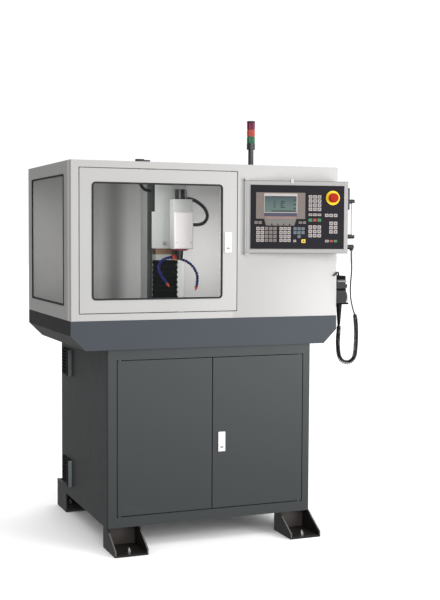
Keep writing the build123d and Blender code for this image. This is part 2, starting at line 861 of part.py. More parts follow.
with BuildPart() as enclosure_front_panel:
    block(-half_width, half_width, front_y, shell_front, tray_top, roof)
    fillet(enclosure_front_panel.edges().filter_by(Axis.Z).group_by(Axis.Y)[0], front_edge_radius)
    block(-half_width + enclosure_sheet, half_width - enclosure_sheet, front_y + enclosure_sheet,
          shell_front + overrun, tray_top + enclosure_sheet, roof - enclosure_sheet, mode=Mode.SUBTRACT)
    block(hatch_left - enclosure_sheet, hatch_right + enclosure_sheet, front_y, front_y + frame_return,
          hatch_bottom - enclosure_sheet, hatch_top + enclosure_sheet)
    block(hatch_left, hatch_right, front_y - overrun, front_y + frame_return + overrun, hatch_bottom,
          hatch_top, mode=Mode.SUBTRACT)
    for hole_z in (hatch_bottom - enclosure_sheet - overrun, hatch_top - overrun):
        rod(level(hole_z, door_pivot_x, door_pivot_y), pin_radius + fit_clearance,
            enclosure_sheet + 2 * overrun, Mode.SUBTRACT)
    for lug_z in lug_levels:
        block(panel_pivot_x - lug_half_width, panel_pivot_x + lug_half_width,
              panel_pivot_y - lug_half_width, front_y, lug_z, lug_z + lug_thickness)
        rod(level(lug_z - overrun, panel_pivot_x, panel_pivot_y), panel_pin_radius + fit_clearance,
            lug_thickness + 2 * overrun, Mode.SUBTRACT)
save(enclosure_front_panel, "enclosure_front_panel")

# Pivot pins of the doors and of the operator panel
with BuildPart() as hinge_pins:
    pin_length = cabinet_sheet + door_gap + pin_grip
    for pivot_x in (left_pivot_x, right_pivot_x):
        rod(level(open_bottom - cabinet_sheet, pivot_x, cabinet_pivot_y), pin_radius, pin_length)
        rod(level(open_top + cabinet_sheet - pin_length, pivot_x, cabinet_pivot_y), pin_radius, pin_length)
    door_pin_length = enclosure_sheet + door_gap + pin_grip
    rod(level(hatch_bottom - enclosure_sheet, door_pivot_x, door_pivot_y), pin_radius, door_pin_length)
    rod(level(hatch_top + enclosure_sheet - door_pin_length, door_pivot_x, door_pivot_y), pin_radius,
        door_pin_length)
    panel_pin_length = lug_thickness + lug_gap + pin_grip
    rod(level(lug_levels[0], panel_pivot_x, panel_pivot_y), panel_pin_radius, panel_pin_length)
    rod(level(lug_levels[1] + lug_thickness - panel_pin_length, panel_pivot_x, panel_pivot_y),
        panel_pin_radius, panel_pin_length)
save(hinge_pins, "hinge_pins")


def window_sketch(width, height, radius, inset):
    """A window's outline, drawn in by an inset."""
    RectangleRounded(width - 2 * inset, height - 2 * inset, radius - inset)


def window_seal(plane, width, height, radius, sheet):
    """A rubber profile that grips the sheet's edge outside and the pane's edge inside."""
    with BuildSketch(plane.offset(seal_proud)) as outside:
        window_sketch(width, height, radius, -seal_lip)
    extrude(outside.sketch, amount=-(sheet + 2 * seal_proud))
    with BuildSketch(plane.offset(seal_proud + overrun)) as inside:
        window_sketch(width, height, radius, seal_width)
    extrude(inside.sketch, amount=-(sheet + 2 * seal_proud + 2 * overrun), mode=Mode.SUBTRACT)
    with BuildSketch(plane) as groove:
        window_sketch(width, height, radius, -seal_lip - overrun)
        RectangleRounded(width, height, radius, mode=Mode.SUBTRACT)
    extrude(groove.sketch, amount=-sheet, mode=Mode.SUBTRACT)
    window_glass(plane, width, height, radius, sheet, Mode.SUBTRACT)


def window_glass(plane, width, height, radius, sheet, mode=Mode.ADD):
    """A pane in the middle of its seal."""
    with BuildSketch(plane.offset((glass_thickness - sheet) / 2)) as pane:
        window_sketch(width, height, radius, seal_width - glass_grip)
    extrude(pane.sketch, amount=-glass_thickness, mode=mode)


def window_hole(plane, width, height, radius, sheet):
    """The hole in the sheet that a seal sits in."""
    with BuildSketch(plane.offset(overrun)) as hole:
        RectangleRounded(width, height, radius)
    extrude(hole.sketch, amount=-(sheet + 2 * overrun), mode=Mode.SUBTRACT)


# Enclosure shell: left, rear and right wall with the roof
side_window_front = front_y + side_window_front_margin
side_window_rear = back_y - side_window_rear_margin
side_window_bottom = tray_top + side_window_bottom_margin
side_window_top = roof - side_window_top_margin
side_window_size = (side_window_rear - side_window_front, side_window_top - side_window_bottom)
side_window_plane = left_side(-half_width, (side_window_front + side_window_rear) / 2,
                              (side_window_bottom + side_window_top) / 2)

with BuildPart() as enclosure_shell:
    block(-half_width, half_width, shell_front, back_y, tray_top, roof)
    block(-half_width + enclosure_sheet, half_width - enclosure_sheet, shell_front - overrun,
          back_y - enclosure_sheet, tray_top - overrun, roof - enclosure_sheet, mode=Mode.SUBTRACT)
    window_hole(side_window_plane, *side_window_size, side_window_radius, enclosure_sheet)
save(enclosure_shell, "enclosure_shell")

with BuildPart() as side_window_seal:
    window_seal(side_window_plane, *side_window_size, side_window_radius, enclosure_sheet)
save(side_window_seal, "side_window_seal")

with BuildPart() as side_window_glass:
    window_glass(side_window_plane, *side_window_size, side_window_radius, enclosure_sheet)
save(side_window_glass, "side_window_glass")

# Front door with its window and latch
window_left = door_left + window_left_margin
window_right = door_right - window_right_margin
window_bottom = door_bottom + window_bottom_margin
window_top = door_top - window_top_margin
window_size = (window_right - window_left, window_top - window_bottom)
window_plane = front(front_y, (window_left + window_right) / 2, (window_bottom + window_top) / 2)
front_latch_x = door_right - front_latch_inset
front_latch_z = door_bottom + front_latch_rise

with BuildPart() as front_door:
    door_leaf(front_door, door_left, door_right, front_y, door_bottom, door_top, door_pivot_x,
              enclosure_sheet)
    window_hole(window_plane, *window_size, window_radius, enclosure_sheet)
    latch_cut(front_latch_x, front_latch_z, front_y, enclosure_sheet)
save(front_door, "front_door")

with BuildPart() as door_seal:
    window_seal(window_plane, *window_size, window_radius, enclosure_sheet)
save(door_seal, "door_seal")

with BuildPart() as door_glass:
    window_glass(window_plane, *window_size, window_radius, enclosure_sheet)
save(door_glass, "door_glass")

with BuildPart() as door_latch_housing:
    latch_housing(front_latch_x, front_latch_z, front_y)
save(door_latch_housing, "door_latch_housing")

with BuildPart() as door_latch_lever:
    latch_lever(front_latch_x, front_latch_z, front_y)
save(door_latch_lever, "door_latch_lever")

# Door switch on the front edge of the roof
switch_left = -half_width + switch_side_margin - switch_width / 2
switch_joint = switch_left + switch_body_share * switch_width
switch_front = front_y + switch_setback
with BuildPart() as door_switch:
    block(switch_left, switch_joint, switch_front, switch_front + switch_depth, roof, roof + switch_height)
    block(switch_joint, switch_left + switch_width, switch_front + switch_step,
          switch_front + switch_depth - switch_step, roof, roof + switch_height - switch_step)
save(door_switch, "door_switch")

# Operator panel housing
cavity_left = panel_left + panel_cavity_inset
cavity_right = panel_right - panel_border
cavity_back = panel_back - panel_wall


def face_y(x):
    """The depth of the panel's turned face at a place across it."""
    return panel_corner - (x - panel_left) * tan(panel_turn)


with BuildPart() as control_housing:
    with BuildSketch(level(panel_bottom)):
        Polygon((panel_left, panel_back), (panel_left, panel_corner), (panel_right, face_y(panel_right)),
                (panel_right, panel_back), align=None)
    extrude(amount=panel_height)
    fillet(control_housing.edges().filter_by(Axis.Z).group_by(Axis.Y)[0], panel_edge_radius)
    with BuildSketch(panel(face_width / 2, panel_height / 2, -faceplate_recess - faceplate_thickness)):
        Rectangle(plate_width, plate_height)
    extrude(amount=faceplate_recess + faceplate_thickness + overrun, mode=Mode.SUBTRACT)
    with BuildSketch(level(panel_bottom + panel_border + panel_ledge)):
        Polygon((cavity_left, cavity_back), (cavity_left, face_y(cavity_left)),
                (cavity_right - panel_ledge, face_y(cavity_right - panel_ledge)),
                (cavity_right - panel_ledge, cavity_back), align=None)
    extrude(amount=plate_height - 2 * panel_ledge, mode=Mode.SUBTRACT)
    for hole_z in (panel_bottom - overrun, panel_top - pin_grip - slide_clearance):
        rod(level(hole_z, panel_pivot_x, panel_pivot_y), panel_pin_radius + fit_clearance,
            pin_grip + slide_clearance + overrun, Mode.SUBTRACT)
save(control_housing, "control_housing")

with BuildPart() as control_faceplate:
    with BuildSketch(panel(face_width / 2, panel_height / 2, -faceplate_recess - faceplate_thickness)):
        Rectangle(plate_width, plate_height)
    extrude(amount=faceplate_thickness)
    rod(panel(stop_across, stop_up, overrun), stop_stem_radius + fit_clearance,
        -(faceplate_recess + faceplate_thickness + 2 * overrun), Mode.SUBTRACT)
save(control_faceplate, "control_faceplate")


def plate_place(across_share, down_share):
    """A place on the faceplate, from shares of its width and height."""
    return panel_border + across_share * plate_width, panel_border + (1 - down_share) * plate_height


with BuildPart() as control_screen:
    screen_u, screen_v = plate_place(screen_left_share, screen_top_share)
    screen_drop = screen_height_share * plate_height
    tab_u, tab_v = plate_place(tab_left_share, screen_top_share + screen_height_share)
    tab_slant = tab_taper_share * plate_width
    tab_right = tab_u + tab_width_share * plate_width
    tab_foot = tab_v - tab_height_share * plate_height
    with BuildSketch(panel(0, 0, -faceplate_recess)):
        Polygon((screen_u, screen_v), (screen_u, tab_v), (tab_u, tab_v), (tab_u + tab_slant, tab_foot),
                (tab_right - tab_slant, tab_foot), (tab_right, tab_v),
                (screen_u + screen_width_share * plate_width, tab_v),
                (screen_u + screen_width_share * plate_width, screen_v), align=None)
    extrude(amount=screen_thickness)
save(control_screen, "control_screen")

with BuildPart() as control_keys:
    for left_share, top_share, width_share, height_share, columns, rows in key_groups_shares:
        pitch_u = width_share * plate_width / columns
        pitch_v = height_share * plate_height / rows
        mid_u, mid_v = plate_place(left_share + width_share / 2, top_share + height_share / 2)
        with BuildSketch(panel(mid_u, mid_v, -faceplate_recess)):
            with GridLocations(pitch_u, pitch_v, columns, rows):
                Rectangle((1 - key_gap_share) * pitch_u, (1 - key_gap_share) * pitch_v)
        extrude(amount=key_height)
save(control_keys, "control_keys")

# Emergency stop
with BuildPart() as estop_collar:
    rod(panel(stop_across, stop_up, -faceplate_recess), stop_disc_radius, stop_disc_height)
    rod(panel(stop_across, stop_up, stop_disc_height - faceplate_recess), stop_boss_radius, stop_boss_height)
    rod(panel(stop_across, stop_up, stop_height), stop_stem_radius + fit_clearance,
        -stop_height - faceplate_recess, Mode.SUBTRACT)
save(estop_collar, "estop_collar")

with BuildPart() as estop_button:
    rod(panel(stop_across, stop_up, stop_height - stop_cap_height), stop_cap_radius, stop_cap_height)
    fillet(estop_button.edges().filter_by(GeomType.CIRCLE).sort_by(Axis.Y)[0], stop_cap_edge)
    rod(panel(stop_across, stop_up, stop_height - stop_cap_height), stop_stem_radius, -stop_stem_length)
save(estop_button, "estop_button")

# Clip over the panel's upper edge
clip_across = clip_across_share * face_width
with BuildPart() as panel_clip:
    with BuildSketch(panel(clip_across, panel_height - clip_tab / 2)):
        Rectangle(clip_width, clip_tab)
    extrude(amount=clip_thickness)
    with BuildSketch(panel(clip_across, panel_height + clip_rise / 2, clip_thickness)):
        Rectangle(clip_width, clip_rise)
    extrude(amount=-clip_depth)
save(panel_clip, "panel_clip")

# Handle and pendant plug on the panel's right end
handle_y = face_y(panel_right) + handle_setback
handle_x = panel_right + handle_standoff
handle_bottom = panel_bottom + handle_rise - handle_span / 2
with BuildPart() as panel_handle:
    for mount_z in (handle_bottom, handle_bottom + handle_span):
        rod(side(panel_right, handle_y, mount_z), handle_mount_radius, handle_standoff + handle_bar_radius)
    rod(level(handle_bottom, handle_x, handle_y), handle_bar_radius, handle_span)
save(panel_handle, "panel_handle")

plug_x = panel_right + plug_reach
plug_y = face_y(panel_right) + plug_setback
plug_z = panel_bottom + plug_rise
plug_end = plug_z - plug_drop
with BuildPart() as pendant_socket:
    rod(side(panel_right, plug_y, plug_z), plug_radius, plug_reach + plug_sleeve_radius)
    rod(mast(plug_z, plug_x, plug_y), plug_sleeve_radius, plug_drop)
save(pendant_socket, "pendant_socket")

# Signal tower
tower_x = half_width - tower_side_margin
tower_y = front_y + tower_setback
tower_base = roof + tower_foot_height + tower_pole_height
lens_floor = tower_base + tower_base_height
with BuildPart() as tower_pole:
    rod(level(roof, tower_x, tower_y), tower_foot_radius, tower_foot_height)
    rod(level(roof + tower_foot_height, tower_x, tower_y), tower_pole_radius, tower_pole_height)
    rod(level(tower_base, tower_x, tower_y), tower_radius, tower_base_height)
save(tower_pole, "tower_pole")

with BuildPart() as tower_lenses:
    lens_radius = tower_radius - lens_radius_drop
    for place in range(lens_count):
        lens_bottom = lens_floor + place * lens_height
        lens_top = lens_bottom + lens_height - lens_gap
        rod(level(lens_bottom, tower_x, tower_y), lens_radius, lens_height - lens_gap)
        rod(level(lens_top, tower_x, tower_y), lens_radius - lens_gap, lens_gap)
save(tower_lenses, "tower_lenses")

with BuildPart() as tower_cap:
    rod(level(lens_floor + lens_count * lens_height, tower_x, tower_y), tower_radius, tower_cap_height)
    fillet(tower_cap.edges().group_by(Axis.Z)[-1], tower_cap_edge)
save(tower_cap, "tower_cap")

# Pendant holder, pendant, wheel and selector
with BuildPart() as pendant_hook:
    block(half_width - hook_front_length, half_width + hook_thickness, front_y - hook_thickness, front_y,
          hook_top - hook_height, hook_top)
    block(half_width, half_width + hook_thickness, front_y - hook_thickness, front_y + hook_side_length,
          hook_top - hook_height, hook_top)
save(pendant_hook, "pendant_hook")

upper_bottom = pendant_top - pendant_upper_height
lower_top = upper_bottom - pendant_neck
lower_bottom = lower_top - pendant_lower_height
grip_x = pendant_back + grip_offset
grip_y = front_y + grip_setback
wheel_z = lower_bottom + pendant_lower_height / 2
selector_z = upper_bottom + selector_rise

with BuildPart() as pendant_body:
    block(pendant_back, pendant_face, pendant_mid_y - pendant_upper_width / 2,
          pendant_mid_y + pendant_upper_width / 2, upper_bottom, pendant_top)
    block(pendant_back, pendant_face, pendant_mid_y - pendant_lower_width / 2,
          pendant_mid_y + pendant_lower_width / 2, lower_bottom, lower_top)
    fillet(pendant_body.edges().filter_by(Axis.Z).group_by(Axis.X)[-1], pendant_edge_radius)
    neck_half = pendant_upper_width / 2 - pendant_neck_inset
    block(pendant_back, pendant_face - pendant_neck_inset, pendant_mid_y - neck_half,
          pendant_mid_y + neck_half, lower_top, upper_bottom)
    with BuildSketch(mast(lower_bottom, grip_x, grip_y)):
        Circle(grip_top_radius)
    with BuildSketch(mast(lower_bottom - grip_length, grip_x, grip_y)):
        Circle(grip_end_radius)
    loft()
    rod(side(pendant_face - wheel_shaft_length, pendant_mid_y, wheel_z), wheel_shaft_radius + fit_clearance,
        wheel_shaft_length + overrun, Mode.SUBTRACT)
    rod(side(pendant_face - wheel_shaft_length, pendant_mid_y, selector_z),
        wheel_shaft_radius + fit_clearance, wheel_shaft_length + overrun, Mode.SUBTRACT)
save(pendant_body, "pendant_body")

with BuildPart() as pendant_wheel:
    rod(side(pendant_face - wheel_shaft_length + slide_clearance, pendant_mid_y, wheel_z), wheel_shaft_radius,
        wheel_shaft_length + wheel_gap)
    rod(side(pendant_face + wheel_gap, pendant_mid_y, wheel_z), wheel_radius, wheel_thickness)
    rod(side(pendant_face + wheel_gap + wheel_thickness, pendant_mid_y,
             wheel_z + wheel_handle_share * wheel_radius), wheel_handle_radius, wheel_shaft_length)
save(pendant_wheel, "pendant_wheel")

with BuildPart() as pendant_selector:
    rod(side(pendant_face - wheel_shaft_length + slide_clearance, pendant_mid_y, selector_z),
        wheel_shaft_radius, wheel_shaft_length + wheel_gap)
    rod(side(pendant_face + wheel_gap, pendant_mid_y, selector_z), selector_radius, selector_thickness / 2)
    with BuildSketch(side(pendant_face + wheel_gap + selector_thickness / 2, pendant_mid_y, selector_z)):
        Rectangle(selector_pointer_width, 2 * selector_radius - selector_pointer_width)
    extrude(amount=selector_thickness / 2)
save(pendant_selector, "pendant_selector")

lead_top = plug_end - slide_clearance
with BuildPart() as pendant_lead:
    tube([(plug_x, plug_y, lead_top), (plug_x, plug_y, lead_top - lead_drop)] + lead_bends, lead_radius)
save(pendant_lead, "pendant_lead")

coil_end = lower_bottom - grip_length - slide_clearance
with BuildPart() as pendant_coil:
    tube(coil_points + [(grip_x, grip_y, coil_end - coil_rise), (grip_x, grip_y, coil_end)], coil_radius)
save(pendant_coil, "pendant_coil")

# Machine bed with its dovetail way and screw channel
spindle_y = front_y + spindle_setback
bed_front = spindle_y - bed_front_reach
bed_back = spindle_y + bed_back_reach
column_front = spindle_y + column_setback
feed_z = bed_top - bed_channel_depth / 2 - nut_floor_gap

with BuildPart() as machine_bed:
    block(machine_x - bed_half_width, machine_x + bed_half_width, bed_front, bed_back, bed_floor,
          bed_shoulder)
    way(front(column_front, machine_x, bed_shoulder), column_front - bed_front)
    block(machine_x - bed_half_width, machine_x + bed_half_width, column_front, bed_back, bed_shoulder,
          bed_top)
    block(machine_x - channel_half_width, machine_x + channel_half_width, bed_front + channel_end,
          column_front - channel_end, bed_top - bed_channel_depth, bed_top + overrun, mode=Mode.SUBTRACT)
    rod(front(column_front - channel_end + channel_end / 2, machine_x, feed_z), screw_radius + fit_clearance,
        column_front - bed_front, Mode.SUBTRACT)
save(machine_bed, "machine_bed")

with BuildPart() as y_screw:
    rod(front(column_front - channel_end + channel_end / 2 - slide_clearance, machine_x, feed_z),
        screw_radius, column_front - channel_end / 2 - slide_clearance - bed_front - slide_clearance)
save(y_screw, "y_screw")

# Saddle, with the nut for the bed's screw and for the table's
saddle_bottom = bed_shoulder + slide_clearance
saddle_shoulder = saddle_bottom + saddle_height
saddle_top = saddle_shoulder + way_height
table_screw_z = saddle_shoulder + table_screw_height

with BuildPart() as saddle:
    block(machine_x - saddle_half_width, machine_x + saddle_half_width, spindle_y - saddle_half_length,
          spindle_y + saddle_half_length, saddle_bottom, saddle_shoulder)
    way(front(spindle_y + saddle_half_length + overrun, machine_x, bed_shoulder),
        2 * (saddle_half_length + overrun), slide_clearance, Mode.SUBTRACT)
    way(side(machine_x - saddle_half_width, spindle_y, saddle_shoulder), 2 * saddle_half_width)
    block(machine_x - nut_half_width, machine_x + nut_half_width, spindle_y - nut_half_length,
          spindle_y + nut_half_length, bed_top - bed_channel_depth + nut_floor_gap, saddle_shoulder)
    rod(front(spindle_y + saddle_half_length, machine_x, feed_z), screw_radius + fit_clearance,
        2 * saddle_half_length, Mode.SUBTRACT)
    block(machine_x - nut_half_length, machine_x + nut_half_length, spindle_y - nut_half_width,
          spindle_y + nut_half_width, saddle_top, table_screw_z + screw_radius + nut_floor_gap)
    rod(side(machine_x - saddle_half_width, spindle_y, table_screw_z), screw_radius + fit_clearance,
        2 * saddle_half_width, Mode.SUBTRACT)
save(saddle, "saddle")

# Table with two T slots
table_bottom = saddle_shoulder + slide_clearance
table_top = table_bottom + table_height
table_left = machine_x - table_length / 2
table_right = machine_x + table_length / 2

with BuildPart() as table:
    block(table_left, table_right, spindle_y - table_half_depth, spindle_y + table_half_depth, table_bottom,
          table_top)
    way(side(table_left - overrun, spindle_y, saddle_shoulder), table_length + 2 * overrun, slide_clearance,
        Mode.SUBTRACT)
    block(table_left + channel_end, table_right - channel_end, spindle_y - channel_half_width,
          spindle_y + channel_half_width, saddle_top, saddle_top + table_channel_height - nut_floor_gap,
          mode=Mode.SUBTRACT)
    rod(side(table_left + channel_end / 2, spindle_y, table_screw_z), screw_radius + fit_clearance,
        table_length, Mode.SUBTRACT)
    for slot_y in (spindle_y - slot_pitch / 2, spindle_y + slot_pitch / 2):
        block(table_left - overrun, table_right + overrun, slot_y - slot_width / 2, slot_y + slot_width / 2,
              table_top - slot_neck_depth - slot_foot_depth, table_top + overrun, mode=Mode.SUBTRACT)
        block(table_left - overrun, table_right + overrun, slot_y - slot_foot_width / 2,
              slot_y + slot_foot_width / 2, table_top - slot_neck_depth - slot_foot_depth,
              table_top - slot_neck_depth, mode=Mode.SUBTRACT)
save(table, "table")

with BuildPart() as x_screw:
    rod(side(table_left + channel_end / 2 + slide_clearance, spindle_y, table_screw_z), screw_radius,
        table_length - channel_end / 2 - 2 * slide_clearance)
save(x_screw, "x_screw")

with BuildPart() as x_motor:
    block(table_right, table_right + axis_motor_length, spindle_y - axis_motor_size / 2,
          spindle_y + axis_motor_size / 2, table_screw_z - axis_motor_size / 2,
          table_screw_z + axis_motor_size / 2)
    chamfer(x_motor.edges().filter_by(Axis.X), motor_edge)
save(x_motor, "x_motor")

# Column with its way, screw channel and rear pocket
column_back = column_front + column_depth
way_face = column_front - way_height
lift_y = way_face + column_channel_depth / 2 + nut_floor_gap

with BuildPart() as column:
    block(machine_x - column_half_width, machine_x + column_half_width, column_front, column_back, bed_top,
          column_top)
    way(mast(column_top, machine_x, column_front), column_height)
    block(machine_x - channel_half_width, machine_x + channel_half_width, way_face - overrun,
          way_face + column_channel_depth, bed_top + column_channel_floor, column_top - channel_end,
          mode=Mode.SUBTRACT)
    block(machine_x - column_half_width + column_wall, machine_x + column_half_width - column_wall,
          way_face + column_channel_depth + column_wall, column_back + overrun, bed_top + column_wall,
          column_top - column_wall, mode=Mode.SUBTRACT)
    rod(level(bed_top + column_channel_floor / 2, machine_x, lift_y), screw_radius + fit_clearance,
        column_height, Mode.SUBTRACT)
save(column, "column")

with BuildPart() as z_screw:
    rod(level(bed_top + column_channel_floor / 2 + slide_clearance, machine_x, lift_y), screw_radius,
        column_height - column_channel_floor / 2 - 2 * slide_clearance)
save(z_screw, "z_screw")

with BuildPart() as axis_motors:
    block(machine_x - axis_motor_size / 2, machine_x + axis_motor_size / 2, bed_front - axis_motor_length,
          bed_front, feed_z - axis_motor_size / 2 + nut_floor_gap,
          feed_z + axis_motor_size / 2 + nut_floor_gap)
    chamfer(axis_motors.edges().filter_by(Axis.Y), motor_edge)
    block(machine_x - lift_motor_size / 2, machine_x + lift_motor_size / 2, lift_y - lift_motor_size / 2,
          lift_y + lift_motor_size / 2, column_top, column_top + lift_motor_length)
save(axis_motors, "axis_motors")

# Milling head on its carriage
carriage_back = column_front - slide_clearance
carriage_front = column_front - carriage_depth
carriage_bottom = bed_top + carriage_rise
carriage_top = carriage_bottom + carriage_height
head_front = spindle_y - head_nose
head_bottom = carriage_bottom + head_rise
head_top = head_bottom + head_height
bellows_back = way_face - bellows_gap
bellows_front = bellows_back - bellows_depth
bellows_top = carriage_bottom - bellows_drop
spindle_plane = level(head_bottom, machine_x, spindle_y)

with BuildPart() as head_casting:
    block(machine_x - head_half_width, machine_x + head_half_width, head_front, carriage_front, head_bottom,
          head_top)
    fillet(head_casting.edges().filter_by(Axis.Z).group_by(Axis.Y)[0], head_edge_radius)
    block(machine_x - carriage_half_width, machine_x + carriage_half_width, carriage_front, carriage_back,
          carriage_bottom, carriage_top)
    block(machine_x - bellows_half_width, machine_x + bellows_half_width, bellows_front, bellows_back,
          bellows_top, carriage_bottom)
    way(mast(carriage_top + overrun, machine_x, column_front), carriage_height + bellows_drop + 2 * overrun,
        slide_clearance, Mode.SUBTRACT)
    nut_bottom = carriage_bottom + carriage_nut_rise
    block(machine_x - nut_half_width, machine_x + nut_half_width, way_face - slide_clearance,
          lift_y + nut_half_width, nut_bottom, nut_bottom + 2 * nut_half_length)
    rod(level(carriage_bottom, machine_x, lift_y), screw_radius + fit_clearance, carriage_height,
        Mode.SUBTRACT)
    for bolt_x in (-carriage_half_width + carriage_bolt_inset / 2,
                   carriage_half_width - carriage_bolt_inset / 2):
        rod(front(carriage_front + carriage_bolt_depth, machine_x + bolt_x,
            carriage_top - carriage_bolt_inset), carriage_bolt_radius, carriage_bolt_depth + overrun,
            Mode.SUBTRACT)
    rod(spindle_plane, spindle_radius + fit_clearance, head_height - spindle_top_gap, Mode.SUBTRACT)
    rod(spindle_plane, spindle_stub_radius + fit_clearance, head_height, Mode.SUBTRACT)
save(head_casting, "head_casting")

with BuildPart() as head_cover:
    block(machine_x - head_half_width, machine_x + head_half_width, head_front - cover_thickness, head_front,
          head_bottom, head_bottom + cover_height)
    fillet(head_cover.faces().sort_by(Axis.Y)[0].edges(), cover_edge_radius)
    for bolt_x in (-head_half_width + cover_bolt_inset, head_half_width - cover_bolt_inset):
        bolt_plane = front(head_front - cover_thickness, machine_x + bolt_x, head_bottom + cover_bolt_rise)
        rod(bolt_plane.offset(-cover_bolt_depth), cover_bolt_radius, cover_bolt_depth + overrun,
            Mode.SUBTRACT)
save(head_cover, "head_cover")

with BuildPart() as spindle_motor:
    rod(level(head_top, machine_x, spindle_y), spindle_motor_radius, spindle_motor_height)
    rib_pitch = spindle_motor_height / (motor_rib_count + 1)
    for rib in range(motor_rib_count):
        groove_z = head_top + (rib + 1 - motor_rib_share / 2) * rib_pitch
        with BuildSketch(level(groove_z, machine_x, spindle_y)):
            Circle(spindle_motor_radius)
            Circle(spindle_motor_radius - motor_rib_depth, mode=Mode.SUBTRACT)
        extrude(amount=motor_rib_share * rib_pitch, mode=Mode.SUBTRACT)
save(spindle_motor, "spindle_motor")

with BuildPart() as spindle:
    rod(spindle_plane.offset(-slide_clearance), spindle_radius, head_height - spindle_top_gap)
    rod(spindle_plane.offset(-slide_clearance), spindle_stub_radius, head_height)
    flange_plane = mast(head_bottom - slide_clearance, machine_x, spindle_y)
    rod(flange_plane, spindle_flange_radius, spindle_flange_height)
    nose_plane = flange_plane.offset(spindle_flange_height)
    with BuildSketch(nose_plane):
        Circle(spindle_nose_radius)
    with BuildSketch(nose_plane.offset(spindle_nose_length)):
        Circle(spindle_tip_radius)
    loft()
    rod(nose_plane.offset(spindle_nose_length + overrun), collet_radius, -(collet_depth + overrun),
        Mode.SUBTRACT)
save(spindle, "spindle")

# Pleated cover of the column's way
with BuildPart() as z_bellows:
    pleat_height = (bellows_top - bed_top) / bellows_pleats
    crest_height = bellows_crest_share * pleat_height
    for pleat in range(bellows_pleats):
        pleat_floor = bed_top + pleat * pleat_height
        block(machine_x - bellows_half_width + bellows_fold, machine_x + bellows_half_width - bellows_fold,
              bellows_front + bellows_fold, bellows_back, pleat_floor, pleat_floor + pleat_height)
        crest_floor = pleat_floor + (pleat_height - crest_height) / 2
        block(machine_x - bellows_half_width, machine_x + bellows_half_width, bellows_front, bellows_back,
              crest_floor, crest_floor + crest_height)
save(z_bellows, "z_bellows")

# Coolant bracket, manifold and jointed hoses
bracket_right = machine_x + bracket_right_reach
bracket_front = spindle_y + bracket_setback
manifold_top = head_bottom - bracket_height
manifold_left = bracket_right - manifold_inset
manifold_right = manifold_left + manifold_size
manifold_front = bracket_front + manifold_setback
manifold_back = manifold_front + manifold_size
manifold_mid_y = (manifold_front + manifold_back) / 2

with BuildPart() as coolant_bracket:
    block(bracket_right - bracket_width, bracket_right, bracket_front, bracket_front + bracket_depth,
          manifold_top, head_bottom)
save(coolant_bracket, "coolant_bracket")


def hose(points):
    """A jointed hose with a tapered nozzle on its end."""
    tube(points, hose_radius)
    placed, _ = route(points)
    aim = (placed[-1] - placed[-2]).normalized()
    nozzle_plane = Plane(origin=placed[-1], z_dir=aim)
    with BuildSketch(nozzle_plane) as root:
        Circle(hose_radius)
    with BuildSketch(nozzle_plane.offset(nozzle_length)) as tip:
        Circle(nozzle_radius)
    loft([root.sketch.face(), tip.sketch.face()])


with BuildPart() as coolant_hoses:
    block(manifold_left, manifold_right, manifold_front, manifold_back, manifold_top - manifold_height,
          manifold_top)
    hose(carried(left_hose_points, manifold_left, manifold_mid_y, manifold_top))
    hose(carried(right_hose_points, manifold_right, manifold_mid_y, manifold_top))
save(coolant_hoses, "coolant_hoses")

# Conduit on the head and cable to the roof
with BuildPart() as head_conduit:
    tube(carried(conduit_points, machine_x + head_half_width, spindle_y, head_bottom), conduit_radius)
save(head_conduit, "head_conduit")

with BuildPart() as ceiling_conduit:
    cable_exit_x = machine_x - column_half_width
    cable_end = (cable_exit_x - cable_out, column_front + cable_setback, roof - enclosure_sheet)
    tube(carried(cable_points, cable_exit_x, column_front, column_top) + [cable_end], cable_radius)
save(ceiling_conduit, "ceiling_conduit")
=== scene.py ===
"""An enclosed milling machine on its cabinet stand, dressed around its solid model."""

import math

import bmesh
import bpy
from mathutils import Matrix, Vector


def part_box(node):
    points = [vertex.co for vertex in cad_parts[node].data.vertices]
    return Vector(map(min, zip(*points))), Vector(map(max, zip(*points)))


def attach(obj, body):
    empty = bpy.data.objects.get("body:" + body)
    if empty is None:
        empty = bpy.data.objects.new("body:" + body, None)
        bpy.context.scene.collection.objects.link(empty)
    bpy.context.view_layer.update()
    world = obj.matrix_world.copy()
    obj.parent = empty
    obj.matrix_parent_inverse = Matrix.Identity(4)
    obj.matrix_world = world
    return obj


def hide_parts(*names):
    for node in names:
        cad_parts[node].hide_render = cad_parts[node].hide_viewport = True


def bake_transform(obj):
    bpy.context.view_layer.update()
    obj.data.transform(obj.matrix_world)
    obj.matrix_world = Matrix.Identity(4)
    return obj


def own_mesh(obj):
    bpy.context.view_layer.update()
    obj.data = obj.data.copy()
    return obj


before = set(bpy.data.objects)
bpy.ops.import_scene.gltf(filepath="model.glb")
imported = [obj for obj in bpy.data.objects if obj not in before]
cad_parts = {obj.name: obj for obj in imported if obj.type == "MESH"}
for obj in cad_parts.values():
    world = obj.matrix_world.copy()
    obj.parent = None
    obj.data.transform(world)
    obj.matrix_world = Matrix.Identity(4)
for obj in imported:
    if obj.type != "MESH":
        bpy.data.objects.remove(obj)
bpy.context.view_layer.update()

bl_info = {
    "name": "Enclosed Milling Machine",
    "version": (1, 0, 0),
    "blender": (4, 5, 0),
    "location": "View3D > Sidebar > Mill",
    "description": "Finishes, cords and fittings of an enclosed milling machine",
    "category": "Object",
}

# The middle of the enclosure on the floor, which the cord's route is measured from
tray_low, tray_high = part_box("chip_tray")
MIDDLE = Vector(((tray_low.x + tray_high.x) / 2, (tray_low.y + tray_high.y) / 2, 0.0))

BLACK = (0.014, 0.014, 0.015)


def linear(red, green, blue):
    """A colour given in screen values from 0 to 255, as Blender's linear values."""
    shares = [value / 255 for value in (red, green, blue)]
    return tuple(s / 12.92 if s <= 0.04045 else ((s + 0.055) / 1.055) ** 2.4 for s in shares)


